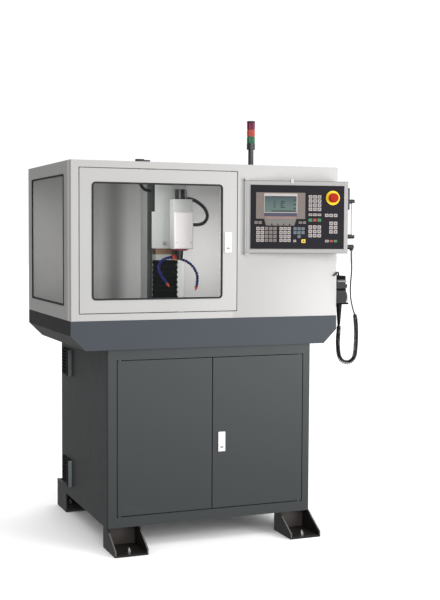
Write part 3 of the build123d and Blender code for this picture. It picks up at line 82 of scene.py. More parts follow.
def colour(name, about, *screen):
    """A colour property."""
    return bpy.props.FloatVectorProperty(
        name=name, description=about, subtype="COLOR", size=3, min=0.0, max=1.0, default=linear(*screen))


def length(name, about, default):
    """A length property in metres."""
    return bpy.props.FloatProperty(
        name=name, description=about, subtype="DISTANCE", unit="LENGTH", precision=4, default=default)


def angle(name, about, degrees):
    """An angle property."""
    return bpy.props.FloatProperty(
        name=name, description=about, subtype="ANGLE", default=math.radians(degrees))


class MillColours(bpy.types.PropertyGroup):
    """Colours of the machine's paints and plastics."""

    enclosure: colour("Enclosure", "Powder coat of the enclosure", 165, 164, 163)
    tray: colour("Chip tray", "Paint of the chip tray", 57, 60, 65)
    cabinet: colour("Cabinet", "Textured paint of the stand", 55, 58, 59)
    feet: colour("Feet", "Paint of the welded feet", 20, 18, 17)
    casting: colour("Casting", "Enamel of the machine's castings", 188, 190, 187)
    cover: colour("Head cover", "White cover of the milling head", 226, 221, 221)
    surround: colour("Display surround", "Printed sheet round the display", 101, 91, 86)
    display: colour("Display", "Lower part of the lit display", 79, 96, 92)
    display_top: colour("Display top", "Upper part of the lit display", 51, 62, 70)
    soft_strip: colour("Soft key strip", "Dark strip under the display", 50, 49, 70)
    red_strip: colour("Red strip", "Thin strip over the soft keys", 122, 98, 94)
    tab: colour("Tab", "Printed tab with the soft keys", 98, 96, 93)
    pale_key: colour("Pale keys", "Membrane keys", 158, 151, 149)
    warm_key: colour("Warm keys", "Letter keys", 112, 102, 99)
    teal_key: colour("Cursor keys", "Cursor block", 84, 99, 108)
    yellow: colour("Yellow", "Stop disc and input key", 236, 190, 22)
    red: colour("Red", "Stop button and stop keys", 148, 24, 9)
    green: colour("Green", "Start keys", 22, 120, 66)
    hose: colour("Hose", "Jointed coolant hose", 24, 28, 104)
    nozzle: colour("Nozzle", "Hose ends and manifold", 214, 84, 36)
    bronze: colour("Bronze", "Coolant bracket", 92, 72, 58)


class MillSizes(bpy.types.PropertyGroup):
    """Sizes of the fittings that the solid model leaves plain."""

    panel_turn: angle("Panel turn", "How far the operator panel faces away from the front", 12.0)
    panel_thin_edge: length("Panel thin edge", "Depth of the operator panel's left edge", 0.016)
    panel_border: length("Panel border", "Frame round the operator panel's black face", 0.018)
    key_proud: length("Key height", "How far a key stands out of the black face", 0.0012)
    cord_diameter: length("Cord diameter", "Thickness of the pendant's lead", 0.006)
    coil_radius: length("Coil radius", "Outer radius of the curly part of the lead", 0.010)
    coil_pitch: length("Coil pitch", "Distance from turn to turn of the curly lead", 0.0066)
    hose_joint: length("Hose joint", "Length of one joint of a coolant hose", 0.0122)
    hose_radius: length("Hose radius", "Outer radius of a coolant hose", 0.0074)
    nozzle_length: length("Nozzle length", "Length of a coolant nozzle", 0.014)
    rib_pitch: length("Conduit rib", "Distance from rib to rib of a conduit", 0.0042)
    pleats: bpy.props.IntProperty(name="Pleats", description="Folds of the way cover", default=14)
    pleat_depth: length("Pleat depth", "Depth of a fold of the way cover", 0.005)


class MillStage(bpy.types.PropertyGroup):
    """The camera, in the photograph's frame of 440 by 600 pixels, and the lights."""

    camera_place: bpy.props.FloatVectorProperty(
        name="Camera place", description="Camera, from the middle of the enclosure", size=3, subtype="XYZ",
        unit="LENGTH", default=(-1.6932, -4.7999, 1.2911))
    yaw: angle("Yaw", "How far the camera looks to the right of straight ahead", 22.443)
    pitch: angle("Pitch", "How far the camera looks up", -3.390)
    roll: angle("Roll", "How far the camera leans", 0.353)
    focal_pixels: bpy.props.FloatProperty(
        name="Focal length", description="Focal length in pixels of the frame", default=1138.46)
    middle_pixel: bpy.props.FloatVectorProperty(
        name="Middle pixel", description="Pixel that the camera looks straight at", size=2,
        default=(238.43, 301.31))
    key_power: bpy.props.FloatProperty(
        name="Key light", description="Power of the large light at the front", subtype="POWER",
        default=60.0)
    fill_power: bpy.props.FloatProperty(
        name="Fill light", description="Power of the even light beside the camera", subtype="POWER",
        default=118.0)
    top_strength: bpy.props.FloatProperty(
        name="Top light", description="Strength of the wide light from above", default=1.7)
    lamp_power: bpy.props.FloatProperty(
        name="Work light", description="Power of the light inside the enclosure", subtype="POWER",
        default=2.3)
    left_lamp_power: bpy.props.FloatProperty(
        name="Left work light", description="Power of the light behind the door", subtype="POWER",
        default=0.9)
    sky: bpy.props.FloatProperty(
        name="Surroundings", description="Strength of the white surroundings", default=1.05)
    left_sky: bpy.props.FloatProperty(
        name="Left surroundings", description="Share of that strength on the left", default=0.42)
    low_sky: bpy.props.FloatProperty(
        name="Low surroundings", description="Share of that strength straight below", default=0.30)


class Value:
    """A socket of a material's nodes. Arithmetic on it adds Math nodes."""

    def __init__(self, finish, socket):
        self.finish = finish
        self.socket = socket

    def join(self, operation, first, second):
        """A Math node on two values."""
        made = self.finish.node("ShaderNodeMath", {"operation": operation}, {0: first, 1: second})
        return made.value()

    def __radd__(self, other):
        return self.join("ADD", other, self)

    def __rsub__(self, other):
        return self.join("SUBTRACT", other, self)

    def __mul__(self, other):
        return self.join("MULTIPLY", self, other)

    def __rmul__(self, other):
        return self.join("MULTIPLY", other, self)

    def above(self, other):
        """One where this is more than the other, and zero elsewhere."""
        return self.join("GREATER_THAN", self, other)


class Made:
    """A node of a material, whose outputs are values."""

    def __init__(self, finish, node):
        self.finish = finish
        self.node = node

    def value(self, output=0):
        """One of the node's outputs."""
        return Value(self.finish, self.node.outputs[output])


class Finish:
    """A material with one Principled shader."""

    def __init__(self, name):
        self.material = bpy.data.materials.new("finish_" + name)
        self.material.use_nodes = True
        self.tree = self.material.node_tree
        self.shader = self.tree.nodes["Principled BSDF"]
        self.place = self.node("ShaderNodeTexCoord").value("Object")

    def node(self, kind, settings=None, inputs=None):
        """A node with its settings, and the values or links of its sockets."""
        made = self.tree.nodes.new(kind)
        for name, value in (settings or {}).items():
            setattr(made, name, value)
        for key, value in (inputs or {}).items():
            self.feed(made.inputs[key], value)
        return Made(self, made)

    def feed(self, socket, value):
        """Set or link one socket."""
        if isinstance(value, Value):
            self.tree.links.new(value.socket, socket)
        elif hasattr(value, "__len__") and socket.type == "RGBA":
            socket.default_value = (*value[:3], 1.0)
        else:
            socket.default_value = value

    def set(self, socket, value):
        """Set or link a socket of the shader."""
        self.feed(self.shader.inputs[socket], value)

    def noise(self, scale, detail=3.0, stretch=None):
        """A soft noise over the surface, from zero to one, in marks for each metre."""
        place = self.place
        if stretch is not None:
            stretched = {0: place, 1: stretch}
            place = self.node("ShaderNodeVectorMath", {"operation": "MULTIPLY"}, stretched).value()
        inputs = {"Vector": place, "Scale": scale, "Detail": detail}
        return self.node("ShaderNodeTexNoise", None, inputs).value()

    def axis(self, name):
        """One of the surface's coordinates, in metres."""
        return self.node("ShaderNodeSeparateXYZ", None, {0: self.place}).value(name)

    def between(self, value, low, high):
        """Zero below the low value, one above the high one, and smooth between."""
        inputs = {"Value": value, "From Min": low, "From Max": high}
        return self.node("ShaderNodeMapRange", {"interpolation_type": "SMOOTHSTEP"}, inputs).value()

    def mix(self, share, first, second):
        """A colour between two others."""
        made = self.node("ShaderNodeMix", {"data_type": "RGBA"}, {0: share, 6: first, 7: second})
        return made.value(2)

    def bump(self, height, strength, depth):
        """Relief from a height, which feeds the shader's normal."""
        inputs = {"Height": height, "Strength": strength, "Distance": depth}
        self.set("Normal", self.node("ShaderNodeBump", None, inputs).value())

    def cover(self, share, base):
        """Lay another colour over the finish's own, by a share from zero to one."""
        own = self.shader.inputs["Base Color"].links[0].from_socket
        self.set("Base Color", self.mix(share, Value(self, own), base))


def shaded(base, share):
    """A colour made darker or lighter by a share."""
    return tuple(min(1.0, value * share) for value in base)


def paint(name, base, roughness=0.42, grain=700.0, relief=0.25, variation=0.06, gloss=0.25):
    """Sprayed or powder paint, with orange peel and a faint change of tone."""
    made = Finish(name)
    tone = made.noise(3.0, 2.0)
    made.set("Base Color", made.mix(tone, shaded(base, 1 - variation), shaded(base, 1 + variation / 2)))
    made.set("Roughness", roughness - 0.05 + 0.1 * made.noise(24.0))
    made.set("Specular IOR Level", gloss)
    made.bump(made.noise(grain, 2.0), relief, 0.0004)
    return made


def grained_plastic(name, base, roughness=0.5, gloss=0.25):
    """Moulded plastic with a fine grain and slightly polished patches."""
    made = Finish(name)
    patches = made.noise(30.0)
    made.set("Base Color", made.mix(patches, shaded(base, 0.9), shaded(base, 1.08)))
    made.set("Roughness", roughness - 0.08 + 0.16 * patches)
    made.set("Specular IOR Level", gloss)
    made.bump(made.noise(1500.0, 2.0), 0.2, 0.0003)
    return made


def rubber(name, base=(0.012, 0.012, 0.013), roughness=0.62, gloss=0.2):
    """Black rubber, a little dusty."""
    made = Finish(name)
    dust = made.noise(60.0)
    made.set("Base Color", made.mix(dust, base, shaded(base, 1.9)))
    made.set("Roughness", roughness + 0.15 * dust)
    made.set("Specular IOR Level", gloss)
    made.bump(made.noise(1800.0, 1.0), 0.15, 0.0002)
    return made


def bare_metal(name, base, roughness=0.32, streak=(1.0, 1.0, 60.0)):
    """Ground, drawn or plated metal with fine streaks."""
    made = Finish(name)
    streaks = made.noise(40.0, 4.0, streak)
    made.set("Base Color", made.mix(streaks, shaded(base, 0.82), shaded(base, 1.08)))
    made.set("Metallic", 1.0)
    made.set("Roughness", roughness - 0.08 + 0.16 * streaks)
    made.bump(streaks, 0.1, 0.0002)
    return made


def window_pane(name):
    """A clear pane with a faint grey tint and a little dust."""
    made = Finish(name)
    dust = made.noise(6.0)
    made.set("Base Color", (0.12, 0.13, 0.13))
    made.set("Roughness", 0.03 + 0.03 * dust)
    made.set("Specular IOR Level", 0.3)
    made.set("Alpha", 0.01 + 0.03 * dust)
    return made


def lens(name, base):
    """A coloured lens of the signal tower, a little lit from inside."""
    made = Finish(name)
    depth = made.noise(160.0, 1.0)
    made.set("Base Color", made.mix(depth, shaded(base, 0.7), base))
    made.set("Roughness", 0.16 + 0.08 * depth)
    made.set("Emission Color", base)
    made.set("Emission Strength", 0.1)
    made.set("Coat Weight", 0.15)
    made.set("Specular IOR Level", 0.25)
    return made


def lit_display(name, base, top):
    """A display whose tone changes to its upper edge, with fine lines of picture points."""
    low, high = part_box("control_screen")
    made = Finish(name)
    rise = made.between(made.axis("Z"), (low.z + high.z) / 2, high.z)
    lines = made.noise(400.0, 1.0, (0.1, 0.1, 1.0))
    tone = made.mix(0.15 * lines, made.mix(rise, base, top), top)
    made.set("Base Color", tone)
    made.set("Emission Color", tone)
    made.set("Emission Strength", 0.06)
    made.set("Roughness", 0.3 + 0.06 * made.noise(80.0))
    made.set("Specular IOR Level", 0.1)
    return made


def cabinet_finish(base):
    """Textured paint that is a little darker towards the floor as painted shade, with lighter scuffs low
    down.
    """
    low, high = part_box("base_cabinet")
    made = Finish("cabinet_paint")
    rise = made.between(made.axis("Z"), low.z, high.z)
    # Painted shade: darker towards the floor, lighter towards the top.
    tone = made.mix(rise, shaded(base, 0.84), shaded(base, 1.06))
    scuff = made.between(made.noise(9.0, 6.0), 0.66, 0.8) * (1 - rise) * 0.35
    made.set("Base Color", made.mix(scuff, tone, shaded(base, 1.5)))
    made.set("Roughness", 0.46 + 0.1 * made.noise(20.0))
    made.set("Specular IOR Level", 0.2)
    made.bump(made.noise(520.0, 3.0), 0.35, 0.0005)
    return made


def front_finish(base):
    """The enclosure's paint, with painted shadow under the operator panel that turns to a painted highlight
    towards the lower right of the front.
    """
    _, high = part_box("enclosure_front_panel")
    panel_low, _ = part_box("control_housing")
    made = paint("front_paint", base, 0.40)
    across = made.axis("X")
    below = 1 - made.between(made.axis("Z"), panel_low.z - 0.06, panel_low.z + 0.03)
    # Painted shade under the operator panel, darker at its left and turning to a painted highlight towards
    # the right.
    painted_light = made.mix(made.between(across, panel_low.x, high.x), shaded(base, 0.86), shaded(base, 1.12))
    made.cover(below * across.above(panel_low.x - 0.05), painted_light)
    return made


def shell_finish(base):
    """The enclosure's paint, with a painted highlight on the left wall's folded edge and a painted shadow
    of the column on the rear wall.
    """
    low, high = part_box("enclosure_shell")
    column_low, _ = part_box("column")
    skin = 0.0005
    highlight_width = 0.05
    shadow_middle = column_low.x - 0.052
    shadow_spread = 0.075
    made = paint("shell_paint", base, 0.40)
    across = made.axis("X")
    depth = made.axis("Y")
    height = made.axis("Z")
    # Painted highlight along the left wall's folded front edge.
    fold = (1 - made.between(depth, low.y, low.y + highlight_width)) * (1 - across.above(low.x + skin))
    made.cover(fold, shaded(base, 1.7))
    # Painted shadow of the column on the inner rear wall, stronger low down.
    rising = made.between(across, shadow_middle - shadow_spread, shadow_middle)
    falling = 1 - made.between(across, shadow_middle, shadow_middle + shadow_spread)
    inner = depth.above(high.y - 0.02) * (1 - depth.above(high.y - skin))
    under = 1 - height.above(high.z - 0.003)
    painted_shadow = rising * falling * inner * under * (0.85 - 0.25 * made.between(height, low.z, high.z))
    made.cover(painted_shadow, shaded(base, 0.3))
    return made


def tray_finish(base):
    """Sprayed paint, with painted shade that darkens the tray's left end."""
    low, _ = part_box("chip_tray")
    slant = 0.062
    made = paint("tray_paint", shaded(base, 1.3567), 0.45, variation=0.0639, gloss=0.05)
    # Painted shade on the tray's left end.
    end = made.axis("Y").above(low.y + 0.002) * (1 - made.axis("X").above(low.x + slant))
    made.cover(end, shaded(base, 0.2))
    return made


def pendant_finish(case, grip):
    """Moulded plastic, black on the tapered grip below the pendant's case."""
    _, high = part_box("pendant_body")
    case_height = 0.120
    made = grained_plastic("pendant_plastic", case, gloss=0.1)
    made.cover(1 - made.axis("Z").above(high.z - case_height), grip)
    return made


def tower_finish():
    """A satin tube below and black plastic round the lenses' base."""
    lens_low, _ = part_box("tower_lenses")
    base_height = 0.026
    made = Finish("tower_metal")
    black = made.axis("Z").above(lens_low.z - base_height)
    streaks = made.noise(30.0, 3.0, (1.0, 1.0, 0.05))
    metal = made.mix(streaks, (0.018, 0.018, 0.022), (0.05, 0.05, 0.058))
    made.set("Base Color", made.mix(black, metal, BLACK))
    made.set("Metallic", 0.5 * (1 - black))
    made.set("Roughness", 0.34 + 0.12 * streaks)
    return made


class Shape:
    """A piece that is being modelled, with one material index at a time."""

    def __init__(self):
        self.bm = bmesh.new()
        self.index = 0

    def _keep(self, before):
        """Give the faces that are new the material index in use."""
        for face in self.bm.faces:
            if face not in before:
                face.material_index = self.index

    def box(self, low, high, bevel=0.0, segments=2):
        """A box between two corners, with rounded edges."""
        before = set(self.bm.faces)
        low, high = Vector(low), Vector(high)
        place = Matrix.Translation((low + high) / 2) @ Matrix.Diagonal((*(high - low), 1.0))
        made = bmesh.ops.create_cube(self.bm, size=1.0, matrix=place)
        if bevel:
            edges = list({edge for vert in made["verts"] for edge in vert.link_edges})
            bmesh.ops.bevel(self.bm, geom=edges, offset=bevel, offset_type="OFFSET", segments=segments,
                            profile=0.5, affect="EDGES", material=-1, clamp_overlap=True)
        self._keep(before)

    def rod(self, start, end, radius, end_radius=None, sides=32, bevel=0.0):
        """A round bar or cone between two points, with rounded rims."""
        before = set(self.bm.faces)
        start, end = Vector(start), Vector(end)
        run = end - start
        place = Matrix.Translation((start + end) / 2) @ run.to_track_quat("Z", "Y").to_matrix().to_4x4()
        made = bmesh.ops.create_cone(
            self.bm, cap_ends=True, segments=sides, radius1=radius,
            radius2=radius if end_radius is None else end_radius, depth=run.length, matrix=place)
        if bevel:
            rims = [e for e in {e for v in made["verts"] for e in v.link_edges}
                    if any(len(face.verts) > 4 for face in e.link_faces)]
            bmesh.ops.bevel(self.bm, geom=rims, offset=bevel, offset_type="OFFSET", segments=3, profile=0.5,
                            affect="EDGES", material=-1, clamp_overlap=True)
        self._keep(before)

    def lathe(self, profile, place, steps=40):
        """A turned shape, from a profile of radius and height about the place's own Z axis."""
        before = set(self.bm.faces)
        verts = [self.bm.verts.new((radius, 0.0, height)) for radius, height in profile]
        edges = [self.bm.edges.new(pair) for pair in zip(verts, verts[1:])]
        bmesh.ops.spin(self.bm, geom=verts + edges, cent=(0, 0, 0), axis=(0, 0, 1), dvec=(0, 0, 0),
                       angle=2 * math.pi, steps=steps, use_merge=True, use_duplicate=False)
        turned = list({v for face in self.bm.faces if face not in before for v in face.verts})
        bmesh.ops.remove_doubles(self.bm, verts=turned, dist=1e-6)
        faces = [face for face in self.bm.faces if face not in before]
        bmesh.ops.recalc_face_normals(self.bm, faces=faces)
        bmesh.ops.transform(self.bm, matrix=place, verts=list({v for face in faces for v in face.verts}))
        self._keep(before)

    def sleeve(self, stations, sides=14):
        """A closed tube through stations, each a place matrix and a radius."""
        before = set(self.bm.faces)
        place, radius = stations[0]
        ring = place @ Matrix.Diagonal((radius, radius, radius, 1.0))
        made = bmesh.ops.create_circle(self.bm, cap_ends=False, segments=sides, radius=1.0, matrix=ring)
        edges = list({edge for vert in made["verts"] for edge in vert.link_edges})
        first = edges
        for place, radius in stations[1:]:
            following = place @ Matrix.Diagonal((radius, radius, radius, 1.0))
            grown = bmesh.ops.extrude_edge_only(self.bm, edges=edges)["geom"]
            verts = [item for item in grown if isinstance(item, bmesh.types.BMVert)]
            edges = [item for item in grown if isinstance(item, bmesh.types.BMEdge)]
            bmesh.ops.transform(self.bm, matrix=following @ ring.inverted(), verts=verts)
            ring = following
        bmesh.ops.edgeloop_fill(self.bm, edges=first)
        bmesh.ops.edgeloop_fill(self.bm, edges=edges)
        bmesh.ops.recalc_face_normals(self.bm, faces=[face for face in self.bm.faces if face not in before])
        self._keep(before)

    def prism(self, outline, floor, lift):
        """A flat shape raised from a floor, given its corners in order."""
        before = set(self.bm.faces)
        face = self.bm.faces.new([self.bm.verts.new((across, up, floor)) for across, up in outline])
        grown = bmesh.ops.extrude_face_region(self.bm, geom=[face])["geom"]
        verts = [item for item in grown if isinstance(item, bmesh.types.BMVert)]
        bmesh.ops.translate(self.bm, vec=(0.0, 0.0, lift), verts=verts)
        bmesh.ops.recalc_face_normals(self.bm, faces=[f for f in self.bm.faces if f not in before])
        self._keep(before)

    def turn(self, place):
        """Move all that is modelled so far."""
        bmesh.ops.transform(self.bm, matrix=place, verts=self.bm.verts)

    def finish(self, name, finishes, body, slot, replaced=()):
        """Make the piece's object, which moves with a body and stands for the nodes it replaces."""
        mesh = bpy.data.meshes.new(name)
        self.bm.to_mesh(mesh)
        self.bm.free()
        return settle(name, mesh, finishes, body, replaced)


def settle(name, mesh, finishes, body, replaced=()):
    """An object for a mesh, with its finishes by name, shaded smooth but for its sharp edges."""
    mesh.shade_smooth()
    mesh.set_sharp_from_angle(angle=math.radians(35))
    for finish in finishes:
        mesh.materials.append(bpy.data.materials["finish_" + finish])
    piece = bpy.data.objects.new(name, mesh)
    bpy.context.scene.collection.objects.link(piece)
    if body is not None:
        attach(piece, body)
    if replaced:
        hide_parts(*replaced)
    return piece


def route_curve(name, points, fineness):
    """A smooth curve whose control points are given."""
    curve = bpy.data.curves.new(name, "CURVE")
    curve.dimensions = "3D"
    spline = curve.splines.new("NURBS")
    spline.points.add(len(points) - 1)
    for control, point in zip(spline.points, points):
        control.co = (*point, 1.0)
    spline.order_u = 3
    spline.use_endpoint_u = True
    spline.resolution_u = fineness
    return curve


def curve_mesh(curve):
    """The mesh of a curve, which isn't kept."""
    carrier = bpy.data.objects.new(curve.name, curve)
    mesh = bpy.data.meshes.new_from_object(carrier)
    bpy.data.objects.remove(carrier)
    bpy.data.curves.remove(curve)
    return mesh


def smooth_line(points, fineness=12):
    """The points along a smooth curve whose control points are given."""
    mesh = curve_mesh(route_curve("route", points, fineness))
    line = [vert.co.copy() for vert in mesh.vertices]
    bpy.data.meshes.remove(mesh)
    return line


def even_line(line, step):
    """Points at even distances along a line, and the line's length."""
    runs = [(b - a).length for a, b in zip(line, line[1:])]
    total = sum(runs)
    count = max(2, round(total / step))
    points = []
    passed = 0.0
    at = 0
    for number in range(count + 1):
        aim = total * number / count
        while at < len(runs) - 1 and passed + runs[at] < aim:
            passed += runs[at]
            at += 1
        share = (aim - passed) / runs[at]
        points.append(line[at].lerp(line[at + 1], min(1.0, share)))
    return points, total


def stations_along(points):
    """A place matrix at each point, whose Z axis follows the line and which doesn't twist."""
    places = []
    side = None
    for number, point in enumerate(points):
        ahead = points[min(number + 1, len(points) - 1)] - points[max(number - 1, 0)]
        ahead.normalize()
        if side is None:
            side = ahead.orthogonal()
        side = (side - ahead * side.dot(ahead)).normalized()
        across = ahead.cross(side)
        turn = Matrix((side, across, ahead)).transposed().to_4x4()
        places.append(Matrix.Translation(point) @ turn)
    return places


def ribbed(points, radius, pitch, shares):
    """Stations of a tube along a smooth route, whose radius follows the shares over each pitch."""
    line, _ = even_line(smooth_line(points), pitch / len(shares))
    places = stations_along(line)
    return [(place, radius * shares[number % len(shares)]) for number, place in enumerate(places)]


def panel_place(sizes):
    """The operator panel's face: across it, up it and out of it, from its lower left corner."""
    low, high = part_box("control_housing")
    turn = sizes.panel_turn
    along = Vector((math.cos(turn), -math.sin(turn), 0.0))
    outward = Vector((-math.sin(turn), -math.cos(turn), 0.0))
    corner = Vector((low.x, high.y - sizes.panel_thin_edge, low.z))
    turned = Matrix((along, Vector((0.0, 0.0, 1.0)), outward)).transposed().to_4x4()
    return Matrix.Translation(corner) @ turned


def plate_size(sizes):
    """Width and height of the operator panel's black face."""
    low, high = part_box("control_housing")
    width = (high.x - low.x) / math.cos(sizes.panel_turn)
    return width - 2 * sizes.panel_border, high.z - low.z - 2 * sizes.panel_border


class MILL_OT_finishes(bpy.types.Operator):
    """Make every finish and give the solid model's nodes theirs"""

    bl_idname = "mill.finishes"
    bl_label = "Finishes"

    def execute(self, context):
        hues = context.scene.mill_colours
        steel_grain = (30.0, 30.0, 30.0)
        table_grain = (1.0, 30.0, 30.0)
        dressed = [
            (paint("enclosure_paint", hues.enclosure, 0.40), ["front_door", "hinge_pins"]),
            (front_finish(hues.enclosure), ["enclosure_front_panel"]),
            (shell_finish(hues.enclosure), ["enclosure_shell"]),
            (paint("panel_paint", shaded(hues.enclosure, 0.76), 0.34), ["control_housing"]),
            (tray_finish(hues.tray), ["chip_tray"]),
            (cabinet_finish(hues.cabinet), ["base_cabinet", "cabinet_door_left", "cabinet_door_right"]),
            (paint("foot_paint", shaded(hues.feet, 1.6), 0.45, 300.0, 0.5, 0.3), ["feet"]),
            (bare_metal("fastener_steel", (0.45, 0.45, 0.44)), ["foot_bolts"]),
            (window_pane("window_pane"), ["door_glass", "side_window_glass"]),
            (rubber("seal_rubber"), ["door_seal", "side_window_seal"]),
            (grained_plastic("latch_silver", (0.80, 0.80, 0.79), 0.35),
             ["door_latch_housing", "cabinet_latch_housing"]),
            (grained_plastic("lever_silver", (0.74, 0.74, 0.73), 0.32),
             ["door_latch_lever", "cabinet_latch_lever"]),
            (grained_plastic("black_plastic", BLACK), ["tower_cap", "pendant_socket"]),
            (grained_plastic("vent_black", (0.004, 0.004, 0.004), 0.6, 0.05),
             ["fan_housings", "fan_rotor"]),
            (grained_plastic("clip_pale", (0.42, 0.42, 0.41), 0.3), ["panel_clip"]),
            (pendant_finish((0.029, 0.027, 0.027), (0.005, 0.005, 0.005)), ["pendant_body"]),
            (grained_plastic("tank_plastic", (0.16, 0.17, 0.18)), ["coolant_tank"]),
            (paint("pump_paint", (0.015, 0.04, 0.12), 0.3), ["coolant_pump"]),
            (grained_plastic("drive_plastic", (0.05, 0.055, 0.06)), ["drive_cabinet"]),
            (tower_finish(), ["tower_pole"]),
            (grained_plastic("panel_black", (0.008, 0.007, 0.010), gloss=0.1), ["control_faceplate"]),
            (grained_plastic("display_surround", hues.surround, 0.42), ["control_screen"]),
            (grained_plastic("stop_yellow", hues.yellow, 0.4), ["estop_collar"]),
            (grained_plastic("stop_red", hues.red, 0.32, 0.1), ["estop_button"]),
            (paint("machine_casting", hues.casting, 0.4, 260.0, 0.35),
             ["machine_bed", "column", "saddle", "head_casting"]),
            (paint("machine_paint", hues.cover, 0.3, 500.0, 0.12, 0.02), ["head_cover"]),
            (bare_metal("table_steel", (0.42, 0.42, 0.43), 0.3, table_grain), ["table"]),
            (bare_metal("spindle_steel", (0.06, 0.06, 0.065), 0.36), ["spindle"]),
            (bare_metal("screw_steel", (0.6, 0.6, 0.61), 0.25, steel_grain),
             ["x_screw", "y_screw", "z_screw"]),
            (grained_plastic("motor_black", (0.02, 0.02, 0.022), 0.36),
             ["spindle_motor", "axis_motors", "x_motor"]),
            (bare_metal("bracket_bronze", hues.bronze, 0.45), ["coolant_bracket"]),
        ]
        for finish, nodes in dressed:
            for node in nodes:
                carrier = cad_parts[node]
                carrier.data.materials.clear()
                carrier.data.materials.append(finish.material)
        self.fittings(hues)
        return {"FINISHED"}

    def fittings(self, hues):
        """The finishes of the pieces that are modelled here, each with its colour and roughness."""
        for name, base, roughness in (
            ("wheel_white", (0.80, 0.80, 0.79), 0.3),
            ("hose_blue", hues.hose, 0.3),
            ("hose_orange", hues.nozzle, 0.32),
            ("key_pale", hues.pale_key, 0.5),
            ("key_warm", hues.warm_key, 0.5),
            ("key_teal", hues.teal_key, 0.5),
            ("key_yellow", hues.yellow, 0.45),
            ("key_red", hues.red, 0.45),
            ("key_green", hues.green, 0.45),
            ("key_mark", (0.10, 0.09, 0.09), 0.5),
            ("display_pale", hues.pale_key, 0.35),
            ("display_dark", shaded(hues.display_top, 0.3), 0.3),
            ("soft_strip", hues.soft_strip, 0.35),
            ("red_strip", hues.red_strip, 0.4),
            ("tab_print", hues.tab, 0.45),
            ("ring_red", (0.42, 0.05, 0.09), 0.35),
            ("handle_pale", (0.78, 0.78, 0.77), 0.3),
        ):
            grained_plastic(name, base, roughness)
        grained_plastic("band_black", (0.003, 0.003, 0.003), 0.6, 0.05)
        lit_display("display_lit", hues.display, hues.display_top)
        rubber("cord_black", (0.006, 0.006, 0.007), 0.4)
        rubber("conduit_black", (0.036, 0.037, 0.040), 0.32, 0.5)
        rubber("bellows_rubber", (0.002, 0.002, 0.002), 0.7, 0.02)
        # The feet's paint lightened as painted light, for the plates behind the gussets.
        paint("foot_back_painted_light", shaded(hues.feet, 7.0), 0.45, 300.0, 0.5, 0.3)
        # A lighter grey as painted highlights on the gussets' edges.
        paint("foot_edge_highlight", (0.085, 0.08, 0.076), 0.45, 300.0, 0.5)
        # The cabinet's paint lightened as painted light, for the hoods' front edges.
        paint("vent_edge_painted_light", shaded(hues.cabinet, 5.0), 0.45, 520.0, 0.35)
        # The castings' enamel darkened as painted shade, for the head's guard plate.
        paint("guard_paint_shaded", shaded(hues.casting, 0.67), 0.4, 260.0, 0.35)
        paint("fin_grey", (0.20, 0.20, 0.20), 0.35)
        # Painted shade in the latch levers' slots.
        paint("slot_painted_shade", (0.06, 0.06, 0.062), 0.4)
        # Dark grey for the painted shadow lines round the operator panel's housing.
        paint("gap_shadow_grey", (0.12, 0.12, 0.12), 0.4)
        # A pale paint as painted light on the operator panel's shaded left end.
        paint("cheek_painted_light", (0.80, 0.80, 0.79), 0.4)
        # Dark grey of the cable duct, which also stands as painted shade on the column's left.
        paint("duct_shade_grey", (0.055, 0.056, 0.058), 0.4)
        lens("lens_green", (0.010, 0.10, 0.045))
        lens("lens_amber", (0.36, 0.045, 0.03))
        lens("lens_red", (0.13, 0.008, 0.035))


# The pendant's lead, from the plug on the operator panel to the pendant's grip, in metres from MIDDLE
LEAD_ROUTE = [
    (0.612, -0.4796, 1.2217),
    (0.612, -0.4796, 1.1897),
    (0.619, -0.474, 1.148),
    (0.620, -0.465, 1.105),
    (0.622, -0.455, 1.057),
    (0.630, -0.446, 1.009),
    (0.646, -0.438, 0.967),
    (0.660, -0.432, 0.938),
]
COIL_ROUTE = [
    (0.660, -0.432, 0.938),
    (0.667, -0.428, 0.895),
    (0.671, -0.423, 0.850),
    (0.672, -0.418, 0.800),
    (0.670, -0.412, 0.754),
    (0.651, -0.405, 0.733),
    (0.624, -0.398, 0.733),
    (0.605, -0.391, 0.754),
    (0.603, -0.384, 0.796),
    (0.608, -0.373, 0.840),
    (0.618, -0.360, 0.8677),
    (0.618, -0.360, 0.8947),
]


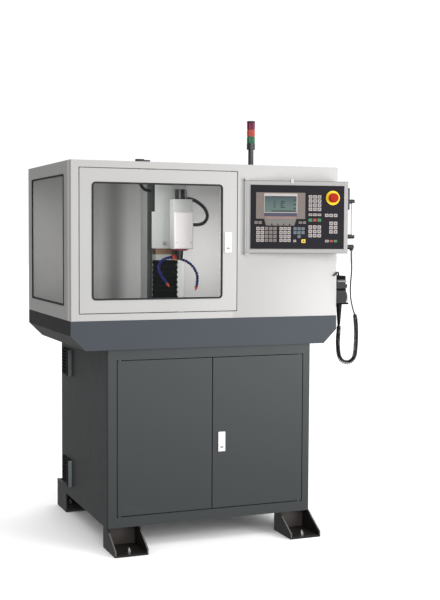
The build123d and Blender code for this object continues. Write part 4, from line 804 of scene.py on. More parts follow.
class MILL_OT_pendant_cord(bpy.types.Operator):
    """Model the pendant's lead, straight from the plug and then in tight turns to the grip"""

    bl_idname = "mill.pendant_cord"
    bl_label = "Pendant lead"

    def helix(self, sizes):
        """Control points of the turns, which open where the lead bends."""
        per_turn = 12
        shrink = (3 + math.cos(2 * math.pi / per_turn)) / 4
        radius = (sizes.coil_radius - sizes.cord_diameter / 2) / shrink
        line, total = even_line(smooth_line([MIDDLE + Vector(p) for p in COIL_ROUTE]), 0.0002)
        places = stations_along(line)
        step = total / (len(line) - 1)
        points = []
        phase = 0.0
        due = 0.0
        window = 20
        for number, place in enumerate(places):
            before = places[max(number - window, 0)].col[2].xyz
            after = places[min(number + window, len(places) - 1)].col[2].xyz
            bend = before.angle(after) / (2 * window * step)
            pitch = max(sizes.coil_pitch, 1.06 * sizes.cord_diameter / (1 - radius * bend))
            if phase >= due:
                travelled = number * step
                ease = min(1.0, travelled / sizes.coil_pitch, (total - travelled) / sizes.coil_pitch)
                reach = radius * ease
                points.append(place @ Vector((reach * math.cos(phase), reach * math.sin(phase), 0.0)))
                due += 2 * math.pi / per_turn
            phase += 2 * math.pi * step / pitch
        points.append(line[-1])
        return points

    def execute(self, context):
        sizes = context.scene.mill_sizes
        lead = [MIDDLE + Vector(point) for point in LEAD_ROUTE]
        route = lead[:-1] + self.helix(sizes)
        curve = route_curve("pendant_cord", route, 3)
        curve.bevel_depth = sizes.cord_diameter / 2
        curve.bevel_resolution = 2
        curve.use_fill_caps = True
        mesh = curve_mesh(curve)
        path = smooth_line(route, 3)
        piece = settle("pendant_cord", mesh, ["cord_black"], None,
                       ["pendant_lead", "pendant_coil"])
        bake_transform(piece)
        narrow = 0.0062
        wide = 0.0094
        collar = Shape()
        seat = lead[-1] + Vector((-0.0015, -0.0007, 0.004))
        aim = (MIDDLE + Vector(COIL_ROUTE[1]) - lead[-1]).normalized()
        collar.rod(seat - aim * 0.004, seat + aim * 0.008, narrow, wide, sides=24, bevel=0.0015)
        ring = collar.finish("cord_collar", ["cord_black"], None, "cord_black")
        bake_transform(ring)
        return {"FINISHED"}


class MILL_OT_coolant_lines(bpy.types.Operator):
    """Model the coolant manifold and its two jointed hoses with their nozzles"""

    bl_idname = "mill.coolant_lines"
    bl_label = "Coolant hoses"

    def execute(self, context):
        sizes = context.scene.mill_sizes
        bracket_low, bracket_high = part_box("coolant_bracket")
        left = bracket_high.x - 0.021
        front = bracket_low.y + 0.010
        side = 0.026
        height = 0.023
        block = Shape()
        block.box((left, front, bracket_low.z - height),
                  (left + side, front + side, bracket_low.z), 0.003, 3)
        routes = {
            left: [(0.0, 0.0, -0.012), (-0.028, -0.002, -0.016), (-0.058, -0.010, -0.032),
                   (-0.070, -0.020, -0.059), (-0.065, -0.033, -0.083), (-0.055, -0.043, -0.104),
                   (-0.038, -0.051, -0.128)],
            left + side: [(0.0, 0.0, -0.016), (0.030, 0.0, -0.024), (0.062, -0.009, -0.044),
                          (0.080, -0.024, -0.076), (0.082, -0.036, -0.110), (0.071, -0.046, -0.144)],
        }
        joint_shares = [0.46, 0.80, 1.0, 1.0, 0.80, 0.46]
        tip = sizes.nozzle_length
        nozzle = [(0.0, -0.004), (0.0062, -0.004), (0.0062, 0.001), (0.0046, 0.003), (0.0026, tip),
                  (0.0014, tip), (0.0014, 0.004), (0.0, 0.004)]
        for start_x, route in routes.items():
            start = Vector((start_x, front + side / 2, bracket_low.z))
            points = [start + Vector(point) for point in route]
            stations = ribbed(points, sizes.hose_radius, sizes.hose_joint, joint_shares)
            block.index = 1
            block.sleeve(stations, 16)
            block.index = 0
            block.lathe(nozzle, stations[-1][0], 20)
        block.finish("coolant_lines", ["hose_orange", "hose_blue"], "head", "hose_blue", ["coolant_hoses"])
        return {"FINISHED"}


class MILL_OT_head_conduit(bpy.types.Operator):
    """Model the ribbed conduit on the head's right side"""

    bl_idname = "mill.head_conduit"
    bl_label = "Head conduit"

    def execute(self, context):
        sizes = context.scene.mill_sizes
        low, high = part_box("head_conduit")
        radius = 0.0078
        start = Vector((low.x, (low.y + high.y) / 2, high.z - radius))
        route = [(-0.026, 0.0168), (0.0, 0.0155), (0.030, 0.010), (0.0605, -0.006), (0.0865, -0.030),
                 (0.0995, -0.060), (0.0865, -0.088), (0.0585, -0.100), (0.0265, -0.099), (0.0, -0.099)]
        points = [start + Vector((out, 0.0, rise)) for out, rise in route]
        stations = ribbed(points, radius, sizes.rib_pitch, [0.86, 1.0, 1.0, 0.86])
        tube = Shape()
        tube.sleeve(stations, 16)
        nut_radius = 0.0098
        end = stations[-1][0].translation
        tube.rod(end, end + Vector((0.012, 0.0, 0.0)), nut_radius, sides=6, bevel=0.0008)
        tube.finish("head_conduit_ribbed", ["conduit_black"], "head", "cord_black", ["head_conduit"])
        return {"FINISHED"}


class MILL_OT_way_bellows(bpy.types.Operator):
    """Model the folded cover of the column's way"""

    bl_idname = "mill.way_bellows"
    bl_label = "Way bellows"

    def execute(self, context):
        sizes = context.scene.mill_sizes
        low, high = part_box("z_bellows")
        left = low.x - 0.008
        right = high.x - 0.014
        middle = Vector(((left + right) / 2, high.y, 0.0))
        width = right - left
        depth = high.y - low.y
        half_pleat = (high.z - low.z) / (2 * sizes.pleats)
        valley = ((width - 2 * sizes.pleat_depth) / width, (depth - sizes.pleat_depth) / depth)
        cover = Shape()
        foot = Matrix.Translation((middle.x, (low.y + high.y) / 2, low.z))
        plan = foot @ Matrix.Diagonal((width, depth, 1.0, 1.0))
        verts = bmesh.ops.create_grid(cover.bm, x_segments=1, y_segments=1, size=0.5, matrix=plan)["verts"]
        about = Matrix.Translation(-middle)
        bmesh.ops.scale(cover.bm, vec=(*valley, 1.0), space=about, verts=verts)
        faces = list(cover.bm.faces)
        for fold in range(2 * sizes.pleats):
            grown = bmesh.ops.extrude_face_region(cover.bm, geom=faces)["geom"]
            faces = [item for item in grown if isinstance(item, bmesh.types.BMFace)]
            verts = [item for item in grown if isinstance(item, bmesh.types.BMVert)]
            bmesh.ops.translate(cover.bm, vec=(0.0, 0.0, half_pleat), verts=verts)
            share = valley if fold % 2 else (1 / valley[0], 1 / valley[1])
            bmesh.ops.scale(cover.bm, vec=(*share, 1.0), space=about, verts=verts)
        bmesh.ops.recalc_face_normals(cover.bm, faces=cover.bm.faces)
        piece = cover.finish("way_bellows", ["bellows_rubber"], "frame", "bellows_rubber", ["z_bellows"])
        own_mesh(piece)
        return {"FINISHED"}


# Key groups on the black face: left, top, width and height as shares of it, columns, rows, and the keys'
# colours, which are for one row or for each row, with a dot where no key is seen
KEY_GROUPS_SHARES = [
    (0.060, 0.650, 0.224, 0.245, 5, 4, "ppwww"),
    (0.305, 0.650, 0.128, 0.245, 3, 4, "p"),
    (0.454, 0.650, 0.128, 0.184, 3, 3, "ttt ttt .t."),
    (0.454, 0.850, 0.037, 0.046, 1, 1, "p"),
    (0.540, 0.842, 0.053, 0.069, 1, 1, "y"),
    (0.040, 0.560, 0.085, 0.054, 2, 1, "w"),
    (0.510, 0.560, 0.085, 0.046, 2, 1, "w"),
    (0.614, 0.145, 0.144, 0.260, 3, 4, "p"),
    (0.614, 0.436, 0.144, 0.046, 3, 1, "p"),
    (0.614, 0.513, 0.144, 0.061, 3, 1, "grg"),
    (0.614, 0.620, 0.144, 0.200, 3, 3, "p"),
    (0.790, 0.436, 0.143, 0.061, 3, 1, "p"),
    (0.838, 0.559, 0.096, 0.200, 2, 3, "p"),
    (0.795, 0.850, 0.139, 0.046, 3, 1, "prg"),
]
KEY_FINISHES = {
    "p": "key_pale",
    "w": "key_warm",
    "t": "key_teal",
    "y": "key_yellow",
    "r": "key_red",
    "g": "key_green",
}


class MILL_OT_operator_keys(bpy.types.Operator):
    """Model the membrane keys, each with a plain mark, and the lit display"""

    bl_idname = "mill.operator_keys"
    bl_label = "Keys and display"

    key_share = 0.82
    face_share = 0.92
    mark_share = 0.30

    def key(self, shape, left, bottom, width, height, floor, proud, index):
        """One key with slanted sides and a mark on its face."""
        before = set(shape.bm.faces)
        place = Matrix.Translation((left + width / 2, bottom + height / 2, floor + proud / 2))
        block = place @ Matrix.Diagonal((width, height, proud, 1.0))
        made = bmesh.ops.create_cube(shape.bm, size=1.0, matrix=block)
        top = [vert for vert in made["verts"] if vert.co.z > floor + proud / 2]
        slant = (self.face_share, self.face_share, 1.0)
        bmesh.ops.scale(shape.bm, vec=slant, space=place.inverted(), verts=top)
        face = [f for f in shape.bm.faces if f not in before and all(v in top for v in f.verts)]
        bmesh.ops.inset_individual(shape.bm, faces=face, thickness=min(width, height) * self.mark_share)
        for made_face in [f for f in shape.bm.faces if f not in before]:
            made_face.material_index = index
        face[0].material_index = len(KEY_FINISHES)

    def execute(self, context):
        sizes = context.scene.mill_sizes
        width, height = plate_size(sizes)
        border = sizes.panel_border
        recess = 0.001
        keys = Shape()
        order = list(KEY_FINISHES)
        for left, top, wide, tall, columns, rows, colours in KEY_GROUPS_SHARES:
            pitch_x = wide * width / columns
            pitch_y = tall * height / rows
            for column in range(columns):
                for row in range(rows):
                    lines = colours.split()
                    tones = lines[row % len(lines)]
                    tone = tones[column % len(tones)]
                    if tone == ".":
                        continue
                    corner_x = border + left * width + (column + (1 - self.key_share) / 2) * pitch_x
                    corner_y = border + (1 - top) * height - (row + 1 - (1 - self.key_share) / 2) * pitch_y
                    self.key(keys, corner_x, corner_y, self.key_share * pitch_x, self.key_share * pitch_y,
                             -recess, sizes.key_proud, order.index(tone))
        keys.turn(panel_place(sizes))
        finishes = [*KEY_FINISHES.values(), "key_mark"]
        keys.finish("membrane_keys", finishes, "operator_panel", "key_grey", ["control_keys"])
        self.display(sizes, width, height)
        return {"FINISHED"}

    def display(self, sizes, width, height):
        """The lit display with plain rows in its pale rim, and the printed tab with the keys below it."""
        border = sizes.panel_border
        floor = 0.0005
        sunk = 0.0002
        pane = Shape()

        def tile(left, top, right, bottom, lift, index):
            """A flat tile between shares of the black face."""
            pane.index = index
            pane.box((border + left * width, border + (1 - bottom) * height, floor - sunk),
                     (border + right * width, border + (1 - top) * height, floor + lift), 0.0001, 1)

        def patch(outline, lift, index):
            """A flat patch with corners at shares of the black face."""
            pane.index = index
            corners = [(border + across * width, border + (1 - down) * height) for across, down in outline]
            pane.prism(corners, floor - sunk, lift + sunk)

        tile(0.144, 0.130, 0.497, 0.433, 0.0010, 1)
        tile(0.150, 0.172, 0.488, 0.424, 0.0013, 0)
        for row in range(4):
            top = 0.250 + 0.030 * row
            tile(0.243, top, 0.268 - 0.006 * (row % 2), top + 0.014, 0.0016, 2)
            tile(0.318, top - 0.004, 0.364 - 0.010 * (row % 3), top + 0.016, 0.0016, 2)
        for top in (0.222, 0.292, 0.352):
            tile(0.452, top, 0.482, top + 0.020, 0.0016, 2)
        tile(0.221, 0.172, 0.488, 0.188, 0.0015, 2)
        tile(0.221, 0.396, 0.488, 0.414, 0.0015, 2)
        tile(0.146, 0.437, 0.492, 0.487, 0.0009, 3)
        tile(0.160, 0.491, 0.484, 0.528, 0.0008, 4)
        patch([(0.152, 0.536), (0.486, 0.536), (0.466, 0.624), (0.176, 0.624)], 0.0009, 5)
        for middle in (0.226, 0.290, 0.351, 0.417):
            patch([(middle - 0.010, 0.624), (middle, 0.598), (middle + 0.010, 0.624)], 0.0013, 6)
        names = ["display_lit", "display_pale", "display_dark", "soft_strip", "red_strip", "tab_print",
                 "panel_black"]
        pane.turn(panel_place(sizes))
        pane.finish("display_pane", names, "operator_panel", "screen_gloss")


class MILL_OT_panel_fittings(bpy.types.Operator):
    """Model the operator panel's handle, its rim, the plate on its right end and painted light on its left
    end
    """

    bl_idname = "mill.panel_fittings"
    bl_label = "Panel fittings"

    def execute(self, context):
        sizes = context.scene.mill_sizes
        low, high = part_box("panel_handle")
        middle_y = (low.y + high.y) / 2
        mount = 0.009
        flange = 0.004
        bar = 0.0065
        bar_x = high.x - 0.0085
        handle = Shape()
        for mount_z in (low.z + mount, high.z - mount):
            handle.index = 1
            root = Vector((low.x, middle_y, mount_z))
            handle.rod(root, root + Vector((flange, 0.0, 0.0)), mount + flange, bevel=0.001)
            handle.rod(root, (bar_x + bar, middle_y, mount_z), mount, bevel=0.002)
        handle.index = 0
        handle.rod((bar_x, middle_y, low.z + mount), (bar_x, middle_y, high.z - mount), bar)
        handle.finish("panel_grip", ["handle_pale", "black_plastic"], "operator_panel", "handle_pale",
                      ["panel_handle"])
        house_low, house_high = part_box("control_housing")
        half_plate = 0.012
        plate_top = house_high.z - 0.026
        plate_foot = house_high.z - 0.118
        plate = Shape()
        plate.box((house_high.x - 0.001, middle_y - half_plate, plate_foot),
                  (house_high.x + 0.012, middle_y + half_plate, plate_top), 0.002)
        plate.finish("panel_end_plate", ["black_plastic"], "operator_panel", "black_plastic")
        skin = 0.0008
        # A pale skin over the housing's left end, as painted light.
        cheek = Shape()
        cheek.box((house_low.x - skin, house_high.y - sizes.panel_thin_edge, house_low.z),
                  (house_low.x + skin / 2, house_high.y, house_high.z), 0.0003)
        cheek.finish("panel_cheek", ["cheek_painted_light"], "operator_panel", "panel_paint")
        self.rim(sizes, house_high.z - house_low.z)
        return {"FINISHED"}

    def rim(self, sizes, tall):
        """A thin rolled lip round the black face, and painted shadow lines along the housing's left, bottom
        and top edges.
        """
        width, height = plate_size(sizes)
        border = sizes.panel_border
        lip = 0.0025
        rim = Shape()
        for low, high in (
            ((border - lip, border - lip), (border, tall - border + lip)),
            ((border + width, border - lip), (border + width + lip, tall - border + lip)),
            ((border, border - lip), (border + width, border)),
            ((border, border + height), (border + width, border + height + lip)),
        ):
            rim.box((*low, -0.0005), (*high, 0.0015), 0.0007)
        # Painted shadow along the housing's left, bottom and top edges, where it meets the enclosure.
        rim.index = 1
        line = 0.002
        full = width + 2 * border
        for low, high in (
            ((0.0, 0.0), (line, tall)),
            ((line, 0.0), (full, line)),
            ((line, tall - line), (full, tall)),
        ):
            rim.box((*low, -0.001), (*high, 0.0003), 0.0002, 1)
        rim.turn(panel_place(sizes))
        rim.finish("panel_rim", ["panel_paint", "gap_shadow_grey"], "operator_panel", "panel_paint")


class MILL_OT_signal_tower(bpy.types.Operator):
    """Model the ribbed lenses of the signal tower"""

    bl_idname = "mill.signal_tower"
    bl_label = "Signal tower"

    def execute(self, context):
        low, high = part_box("tower_lenses")
        middle = Vector(((low.x + high.x) / 2, (low.y + high.y) / 2, 0.0))
        radius = (high.x - low.x) / 2
        names = ["lens_green", "lens_amber", "lens_red"]
        tall = (high.z - low.z) / len(names)
        ribs = 36
        groove_share = 0.955
        edge = 0.0012
        neck = radius - edge
        profile = [(0.0, 0.0), (neck, 0.0), (neck, edge), (radius, 0.002), (radius, tall - 0.002),
                   (neck, tall - edge), (neck, tall), (0.0, tall)]
        stack = Shape()
        for number in range(len(names)):
            floor = low.z + number * tall
            stack.index = number
            before = set(stack.bm.verts)
            stack.lathe(profile, Matrix.Translation((middle.x, middle.y, floor)), 2 * ribs)
            made = [vert for vert in stack.bm.verts if vert not in before]
            grooves = []
            for vert in made:
                turn = math.atan2(vert.co.y - middle.y, vert.co.x - middle.x) % (2 * math.pi)
                wall = Vector((vert.co.x - middle.x, vert.co.y - middle.y)).length > radius - 0.0002
                if wall and round(turn * ribs / math.pi) % 2:
                    grooves.append(vert)
            bmesh.ops.scale(stack.bm, vec=(groove_share, groove_share, 1.0),
                            space=Matrix.Translation(-middle), verts=grooves)
        stack.finish("tower_lens_stack", names, "frame", "tower_lens", ["tower_lenses"])
        return {"FINISHED"}


class MILL_OT_door_switch(bpy.types.Operator):
    """Model the door switch on the roof's front edge"""

    bl_idname = "mill.door_switch"
    bl_label = "Door switch"

    def execute(self, context):
        low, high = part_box("door_switch")
        split_share = 0.55
        inset = 0.003
        screw_inset = 0.008
        screw_radius = 0.003
        split = low.x + split_share * (high.x - low.x)
        switch = Shape()
        switch.box(low, (split, high.y, high.z), 0.0015)
        switch.index = 1
        switch.box((split, low.y + inset, low.z), (high.x, high.y - inset, high.z - inset), 0.001)
        switch.index = 2
        for screw_x in (low.x + screw_inset, split - screw_inset):
            top = Vector((screw_x, (low.y + high.y) / 2, high.z - 0.0012))
            switch.rod(top, top + Vector((0.0, 0.0, 0.0011)), screw_radius, sides=20, bevel=0.0004)
        finishes = ["black_plastic", "tray_paint", "fastener_steel"]
        switch.finish("door_switch_body", finishes, "frame", "black_plastic", ["door_switch"])
        return {"FINISHED"}


class MILL_OT_latch_slots(bpy.types.Operator):
    """Model the slots low in the two latch levers, dark with painted shade"""

    bl_idname = "mill.latch_slots"
    bl_label = "Latch slots"

    def execute(self, context):
        half_width = 0.007
        half_height = 0.0025
        rise = 0.010
        for lever, body in (("door_latch_lever", "door_lever"), ("cabinet_latch_lever", "leaf_lever")):
            low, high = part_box(lever)
            middle = (low.x + high.x) / 2
            slot_z = low.z + rise
            slot = Shape()
            slot.box((middle - half_width, low.y - 0.0004, slot_z - half_height),
                     (middle + half_width, low.y + 0.002, slot_z + half_height), 0.0003)
            slot.finish(lever + "_slot", ["slot_painted_shade"], body, "lever_silver")
        return {"FINISHED"}


class MILL_OT_column_cap(bpy.types.Operator):
    """Model the cover over the motor on the column, the way's upper cover, the dark cable duct that also
    stands as painted shade on the column's left, and its cable
    """

    bl_idname = "mill.column_cap"
    bl_label = "Column cap"

    def execute(self, context):
        low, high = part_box("column")
        _, shell_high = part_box("enclosure_shell")
        head_low, head_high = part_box("head_casting")
        gap = 0.003
        lap = 0.002
        duct = low.x + 0.035
        top = shell_high.z - 0.004
        front = low.y - 0.008
        face = low.y + 0.012
        carriage_top = head_high.z - 0.053
        cap = Shape()
        cap.box((duct, front, high.z), (high.x, high.y, top), 0.002)
        cap.box((low.x, face, high.z), (duct + 0.001, high.y, top), 0.002)
        foot = head_high.z + gap
        cap.box((head_low.x + 0.012, front, foot), (head_high.x, low.y - 0.001, high.z + lap), 0.002)
        cap.box((head_high.x, front, foot), (high.x, face, high.z + lap), 0.002)
        # The dark duct on the column's left, which also stands as painted shade of the column's side.
        cap.index = 1
        cap.box((low.x, face - 0.005, low.z + lap), (head_low.x - 0.0015, face, top), 0.001)
        cap.box((low.x, front + 0.004, carriage_top + gap), (duct, face, top), 0.001)
        cap.finish("column_cap", ["machine_casting", "duct_shade_grey"], "frame", "machine_casting")
        self.cable(context.scene.mill_sizes, Vector((low.x, front + 0.008, top)))
        return {"FINISHED"}

    def cable(self, sizes, corner):
        """The ribbed cable from the roof into the duct."""
        radius = 0.0072
        route = [(-0.040, 0.002, 0.001), (-0.040, 0.002, -0.031), (-0.036, 0.002, -0.064),
                 (-0.024, 0.001, -0.086), (-0.006, 0.0, -0.096), (0.012, 0.0, -0.098)]
        points = [corner + Vector(point) for point in route]
        tube = Shape()
        tube.sleeve(ribbed(points, radius, sizes.rib_pitch, [0.88, 1.0, 1.0, 0.88]), 16)
        tube.finish("ceiling_cable", ["cord_black"], "frame", "cord_black", ["ceiling_conduit"])


class MILL_OT_foot_plates(bpy.types.Operator):
    """Model the upright plates that close the feet between their gussets, lightened as painted light, and
    painted highlights on the gussets' edges
    """

    bl_idname = "mill.foot_plates"
    bl_label = "Foot plates"

    def execute(self, context):
        low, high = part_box("feet")
        cabinet_low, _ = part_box("base_cabinet")
        gusset = 0.006
        floor = 0.008
        front_width = 0.140
        rear_width = 0.105
        inner = cabinet_low.y + 0.058
        plates = Shape()
        for width, back, top in (
            (front_width, inner, cabinet_low.z - 0.0005),
            (rear_width, high.y, high.z - 0.002),
        ):
            for left, right in ((low.x, low.x + width), (high.x - width, high.x)):
                plates.box((left + gusset, back - gusset, floor), (right - gusset, back, top), 0.0008)
        plates.finish("foot_plates", ["foot_back_painted_light"], "frame", "foot_paint")
        thick = 0.0016
        proud = 0.0006
        toe = floor + 0.014
        rise = cabinet_low.z - 0.002
        outline = [(low.y, toe), (cabinet_low.y, rise), (cabinet_low.y, rise + thick),
                   (low.y - proud, toe + thick), (low.y - proud, floor), (low.y, floor)]
        slopes = Shape()
        for left in (low.x, low.x + front_width - gusset, high.x - front_width, high.x - gusset):
            slopes.prism(outline, left, gusset)
        slopes.turn(Matrix(((0, 0, 1, 0), (1, 0, 0, 0), (0, 1, 0, 0), (0, 0, 0, 1))))
        slopes.finish("foot_edge_highlights", ["foot_edge_highlight"], "frame", "foot_paint")
        return {"FINISHED"}


class MILL_OT_vent_hoods(bpy.types.Operator):
    """Model the hoods in front of the ventilation units, each with a front edge lightened as painted light
    """

    bl_idname = "mill.vent_hoods"
    bl_label = "Vent hoods"

    def execute(self, context):
        low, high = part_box("fan_housings")
        cabinet_low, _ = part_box("base_cabinet")
        size = high.y - low.y
        depth = 0.034
        reach = 0.017
        gap = 0.0003
        edge = Vector((0.0, 0.002, 0.0))
        hoods = Shape()
        for foot in (low.z, high.z - size):
            outer = Vector((cabinet_low.x - reach, low.y - depth, foot))
            inner = Vector((cabinet_low.x - gap, low.y - gap, foot + size))
            hoods.index = 1
            hoods.box(outer, inner, 0.001)
            hoods.index = 0
            hoods.box(outer - edge, (inner.x, outer.y - 0.0002, inner.z), 0.0004)
        hoods.finish("vent_edges", ["vent_edge_painted_light", "vent_black"], "frame", "cabinet_paint")
        return {"FINISHED"}


class MILL_OT_pendant_trim(bpy.types.Operator):
    """Model the pendant's bands and ribs, hand wheel and selector, and the bent hook that it hangs on"""

    bl_idname = "mill.pendant_trim"
    bl_label = "Pendant trim"

    def execute(self, context):
        low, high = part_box("pendant_body")
        top = high.z
        proud = 0.0006
        shy = 0.001
        front = low.y - proud
        back = high.y + proud
        cap_foot = top - 0.014
        stripe_top = top - 0.020
        stripe_foot = top - 0.026
        seam_top = top - 0.0545
        seam_foot = top - 0.0655
        spine_foot = top - 0.058
        spine_width = 0.008
        lip_top = top - 0.1165
        lip_foot = top - 0.1245
        lip_reach = 0.013
        lip_depth = 0.030
        trim = Shape()
        trim.box((low.x, front, cap_foot), (high.x - 0.006, back, top + shy), 0.001)
        trim.box((low.x + shy / 2, low.y + shy, seam_foot), (high.x - shy, high.y - shy, seam_top))
        trim.box((low.x, front, spine_foot), (low.x + spine_width, back, cap_foot + shy), 0.001)
        trim.box((low.x + 0.004, front, lip_foot), (high.x + lip_reach, low.y + lip_depth, lip_top), 0.003)
        trim.index = 1
        trim.box((low.x + 0.010, front, stripe_foot), (high.x + proud, back, stripe_top), 0.0005)
        trim.index = 2
        ribs = 7
        rib_pitch = 0.0062
        rib_height = 0.003
        rib_inset = 0.002
        first_rib = top - 0.076
        for number in range(ribs):
            foot = first_rib - rib_pitch * number
            trim.box((low.x + rib_inset, front, foot),
                     (high.x - rib_inset, low.y + shy, foot + rib_height), 0.0005)
        finishes = ["band_black", "fin_grey", "pendant_plastic"]
        trim.finish("pendant_trim", finishes, "frame", "black_plastic")
        self.hook()
        self.wheel(high.x)
        self.selector(high.x)
        return {"FINISHED"}

    def wheel(self, face):
        """The hand wheel with its dial, on the pendant's face."""
        low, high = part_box("pendant_wheel")
        hub = Vector((face, (low.y + high.y) / 2, (low.z + high.z) / 2))
        radius = (high.z - low.z) / 2
        boss = 0.012
        start = 0.016
        across = Matrix.Translation(hub) @ Matrix.Rotation(math.pi / 2, 4, "Y")
        wheel = Shape()
        wheel.index = 1
        wheel.lathe([(0.0, 0.0), (boss, 0.0), (boss, start), (0.0, start)], across, 32)
        wheel.index = 0
        rim = [(0.0, start), (radius - 0.002, start), (radius, 0.018), (radius, 0.028),
               (radius - 0.002, 0.030), (radius - 0.006, 0.030), (radius - 0.008, 0.027), (0.0, 0.027)]
        wheel.lathe(rim, across, 48)
        wheel.index = 1
        crank = hub + Vector((0.026, 0.0, radius - 0.008))
        wheel.rod(crank, crank + Vector((0.009, 0.0, 0.0)), 0.003, sides=20, bevel=0.001)
        wheel.finish("hand_wheel_dial", ["wheel_white", "black_plastic"], "hand_wheel", "wheel_white",
                     ["pendant_wheel"])

    def selector(self, face):
        """The axis selector's knob with its bar, on the pendant's face."""
        low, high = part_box("pendant_selector")
        stem = Vector((face - 0.004, (low.y + high.y) / 2, (low.z + high.z) / 2))
        end = Vector((high.x, stem.y, stem.z))
        knob = Shape()
        knob.rod(stem, end, 0.009, 0.0075, sides=32, bevel=0.0015)
        knob.box(end + Vector((0.0, -0.0025, -0.0085)), end + Vector((0.012, 0.0025, 0.0085)), 0.001)
        knob.finish("selector_knob", ["black_plastic"], "axis_selector", "black_plastic",
                    ["pendant_selector"])

    def hook(self):
        """A strip on the wall, bent round the enclosure's front corner."""
        low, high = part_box("pendant_hook")
        wall = high.x - 0.003
        radius = 0.0036
        bent = Shape()
        bent.box((wall, low.y + 0.004, low.z), (high.x, high.y, high.z - 0.010), 0.001)
        corner = Vector((wall, low.y, low.z))
        route = [(-0.018, -0.0035, 0.006), (-0.010, -0.004, 0.014), (-0.002, -0.004, 0.022),
                 (0.006, -0.002, 0.020), (0.010, 0.006, 0.010), (0.013, 0.016, 0.001)]
        bent.sleeve(ribbed([corner + Vector(point) for point in route], radius, 0.002, [1.0]), 14)
        bent.finish("pendant_hook_bent", ["black_plastic"], "frame", "black_plastic", ["pendant_hook"])


class MILL_OT_head_fittings(bpy.types.Operator):
    """Model the head cover's screws, the red ring under the head, the motor's fins and a guard plate"""

    bl_idname = "mill.head_fittings"
    bl_label = "Head fittings"

    def execute(self, context):
        low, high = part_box("head_cover")
        inset = 0.010
        screw_rise = 0.027
        screw_radius = 0.0036
        screws = Shape()
        for screw_x in (low.x + inset, high.x - inset):
            back = Vector((screw_x, low.y + 0.002, low.z + screw_rise))
            screws.rod(back, back + Vector((0.0, -0.0024, 0.0)), screw_radius, sides=6, bevel=0.0004)
        screws.finish("cover_screws", ["fastener_steel"], "head", "spindle_steel")
        spindle_low, spindle_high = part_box("spindle")
        bore = 0.0275
        flank = 0.036
        outer = 0.0375
        deep = -0.0065
        profile = [(bore, 0.0), (flank, 0.0), (outer, -0.002), (outer, -0.005), (flank, deep), (bore, deep),
                   (bore, 0.0)]
        middle = (spindle_low + spindle_high) / 2
        ring = Shape()
        ring.lathe(profile, Matrix.Translation((middle.x, middle.y, low.z)))
        ring.finish("spindle_ring", ["ring_red"], "head", "spindle_steel")
        self.fins()
        self.guard(low, high)
        return {"FINISHED"}

    def fins(self):
        """Light and dark fins on the spindle motor's front, at shares of its width."""
        low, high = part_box("spindle_motor")
        gap = 0.003
        fins = Shape()
        for index, width, shares in ((0, 0.008, (0.30, 0.94)), (1, 0.006, (0.10, 0.50, 0.70))):
            fins.index = index
            for share in shares:
                left = low.x + share * (high.x - low.x) - width / 2
                fins.box((left, low.y - 0.002, low.z + gap),
                         (left + width, low.y + 0.0005, high.z - gap), 0.0006)
        fins.finish("motor_fins", ["fin_grey", "motor_black"], "head", "motor_black")

    def guard(self, low, high):
        """The plate that shields the carriage on the head's left, with its screws and a fitting."""
        _, casting_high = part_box("head_casting")
        motor_low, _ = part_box("spindle_motor")
        carriage_top = casting_high.z - 0.054
        face = high.y + 0.052
        thick = 0.004
        side = low.x + 0.001
        foot = low.z + 0.002
        top = casting_high.z + 0.078
        left = side - 0.082
        step = side - 0.068
        edge = motor_low.x - 0.0005
        brow = casting_high.z + 0.0005
        outline = [(left, foot), (side, foot), (side, brow), (edge, brow), (edge, top), (step, top),
                   (step, carriage_top), (left, carriage_top)]
        plate = Shape()
        plate.prism(outline, -face - thick, thick)
        plate.turn(Matrix(((1, 0, 0, 0), (0, 0, -1, 0), (0, 1, 0, 0), (0, 0, 0, 1))))
        plate.index = 1
        for inset in (0.018, 0.052):
            screw = Vector((side - inset, face, carriage_top + 0.004))
            plate.rod(screw, screw - Vector((0.0, 0.002, 0.0)), 0.003, sides=20, bevel=0.0005)
        plate.index = 2
        root = Vector((side - 0.025, face, low.z + 0.025))
        plate.rod(root, root - Vector((0.0, 0.010, 0.0)), 0.0085, 0.0075, sides=24, bevel=0.001)
        # The guard plate's enamel is darkened as painted shade.
        finishes = ["guard_paint_shaded", "fastener_steel", "fin_grey"]
        plate.finish("head_guard", finishes, "head", "machine_casting")


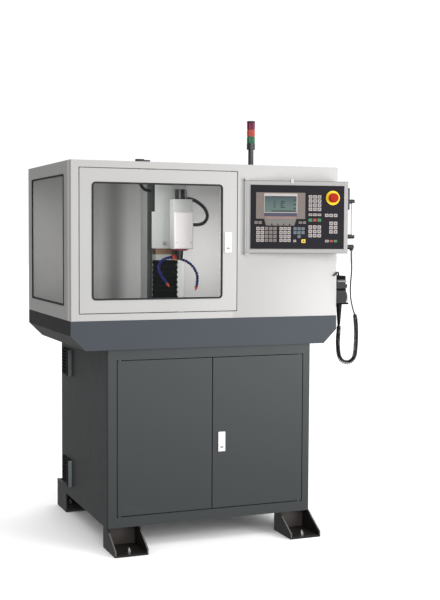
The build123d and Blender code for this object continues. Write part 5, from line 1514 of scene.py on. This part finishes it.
class MILL_OT_stage(bpy.types.Operator):
    """Set the floor, the soft lights and the camera"""

    bl_idname = "mill.stage"
    bl_label = "Stage"

    def light(self, name, place, aim, size, power):
        """A soft square light that faces a point."""
        lamp = bpy.data.lights.new(name, "AREA")
        lamp.energy = power
        lamp.size = size
        carrier = bpy.data.objects.new(name, lamp)
        carrier.location = MIDDLE + Vector(place)
        carrier.rotation_euler = (Vector(aim) - Vector(place)).to_track_quat("-Z", "Y").to_euler()
        carrier.visible_camera = False
        bpy.context.scene.collection.objects.link(carrier)
        return lamp

    def execute(self, context):
        stage = context.scene.mill_stage
        ground = bmesh.new()
        bmesh.ops.create_grid(ground, x_segments=1, y_segments=1, size=40.0)
        mesh = bpy.data.meshes.new("floor")
        ground.to_mesh(mesh)
        ground.free()
        floor = bpy.data.objects.new("floor", mesh)
        context.scene.collection.objects.link(floor)
        pale = Finish("floor_pale")
        pale.set("Base Color", pale.mix(pale.noise(0.6), (0.93, 0.93, 0.93), (0.96, 0.96, 0.96)))
        pale.set("Roughness", 0.8)
        mesh.materials.append(pale.material)
        floor.visible_diffuse = False
        floor.visible_glossy = False

        self.surroundings(context, stage)
        self.light("key_light", (1.7, -2.5, 1.1), (0.4, -0.4, 1.1), 1.6, stage.key_power)
        self.light("fill_light", (-0.8, -5.2, 1.9), (0.0, -0.4, 1.1), 3.0, stage.fill_power)
        lamp = self.light("work_light", (0.36, -0.10, 1.22), (0.17, 0.39, 1.11), 0.35, stage.lamp_power)
        lamp.spread = math.radians(135)
        self.light("left_work_light", (-0.36, -0.24, 1.42), (-0.08, -0.02, 1.38), 0.2,
                   stage.left_lamp_power)
        above = bpy.data.lights.new("top_light", "SUN")
        above.energy = stage.top_strength
        above.angle = math.radians(120)
        context.scene.collection.objects.link(bpy.data.objects.new("top_light", above))
        self.camera(context, stage)
        return {"FINISHED"}

    def surroundings(self, context, stage):
        """White surroundings that fall off to the left of the machine."""
        world = bpy.data.worlds.new("white_surroundings")
        world.use_nodes = True
        nodes = world.node_tree.nodes
        background = nodes["Background"]
        background.inputs["Color"].default_value = (1.0, 1.0, 1.0, 1.0)
        place = nodes.new("ShaderNodeTexCoord")
        split = nodes.new("ShaderNodeSeparateXYZ")
        links = world.node_tree.links
        links.new(place.outputs["Generated"], split.inputs[0])
        shares = []
        for axis, low, high, least in (
            ("X", -0.35, 0.17, stage.left_sky),
            ("Z", -0.8, -0.08, stage.low_sky),
        ):
            fall = nodes.new("ShaderNodeMapRange")
            fall.interpolation_type = "SMOOTHSTEP"
            for name, value in (("From Min", low), ("From Max", high), ("To Min", least), ("To Max", 1.0)):
                fall.inputs[name].default_value = value
            links.new(split.outputs[axis], fall.inputs["Value"])
            shares.append(fall.outputs["Result"])
        both = nodes.new("ShaderNodeMath")
        both.operation = "MULTIPLY"
        scaled = nodes.new("ShaderNodeMath")
        scaled.operation = "MULTIPLY"
        scaled.inputs[1].default_value = stage.sky
        links.new(shares[0], both.inputs[0])
        links.new(shares[1], both.inputs[1])
        links.new(both.outputs[0], scaled.inputs[0])
        links.new(scaled.outputs[0], background.inputs["Strength"])
        context.scene.world = world
        context.scene.view_settings.view_transform = "Standard"

    def camera(self, context, stage):
        """The camera at the photograph's place, with its lens and its middle pixel."""
        frame_width = 440
        frame_height = 600
        run = math.cos(stage.pitch)
        ahead = Vector((math.sin(stage.yaw) * run, math.cos(stage.yaw) * run, math.sin(stage.pitch)))
        level = Vector((math.cos(stage.yaw), -math.sin(stage.yaw), 0.0))
        upright = level.cross(ahead)
        right = math.cos(stage.roll) * level + math.sin(stage.roll) * upright
        up = math.cos(stage.roll) * upright - math.sin(stage.roll) * level
        camera = bpy.data.cameras.new("camera")
        camera.sensor_width = 36.0
        camera.lens = stage.focal_pixels * camera.sensor_width / frame_height
        camera.shift_x = (frame_width / 2 - stage.middle_pixel[0]) / frame_height
        camera.shift_y = (stage.middle_pixel[1] - frame_height / 2) / frame_height
        camera.clip_end = 200.0
        carrier = bpy.data.objects.new("camera", camera)
        turned = Matrix((right, up, -ahead)).transposed().to_4x4()
        carrier.matrix_world = Matrix.Translation(MIDDLE + Vector(stage.camera_place)) @ turned
        context.scene.collection.objects.link(carrier)
        context.scene.camera = carrier


class MILL_PT_pieces(bpy.types.Panel):
    """The milling machine's operators, in the order that they run"""

    bl_label = "Milling machine"
    bl_idname = "MILL_PT_pieces"
    bl_space_type = "VIEW_3D"
    bl_region_type = "UI"
    bl_category = "Mill"

    def draw(self, context):
        for operator in operators:
            self.layout.operator(operator.bl_idname)


operators = (
    MILL_OT_finishes,
    MILL_OT_pendant_cord,
    MILL_OT_coolant_lines,
    MILL_OT_head_conduit,
    MILL_OT_way_bellows,
    MILL_OT_operator_keys,
    MILL_OT_panel_fittings,
    MILL_OT_signal_tower,
    MILL_OT_door_switch,
    MILL_OT_latch_slots,
    MILL_OT_column_cap,
    MILL_OT_foot_plates,
    MILL_OT_vent_hoods,
    MILL_OT_pendant_trim,
    MILL_OT_head_fittings,
    MILL_OT_stage,
)
groups = {"mill_colours": MillColours, "mill_sizes": MillSizes, "mill_stage": MillStage}


def register():
    """Register the classes and hang the property groups on the scene."""
    for group in (*groups.values(), *operators, MILL_PT_pieces):
        bpy.utils.register_class(group)
    for name, group in groups.items():
        setattr(bpy.types.Scene, name, bpy.props.PointerProperty(type=group))


def unregister():
    """Undo what register did."""
    for name in groups:
        delattr(bpy.types.Scene, name)
    for group in (MILL_PT_pieces, *reversed(operators), *reversed(groups.values())):
        bpy.utils.unregister_class(group)


def main():
    """Dress the machine."""
    register()
    for operator in operators:
        area, name = operator.bl_idname.split(".")
        getattr(getattr(bpy.ops, area), name)()


if __name__ == "__main__":
    main()
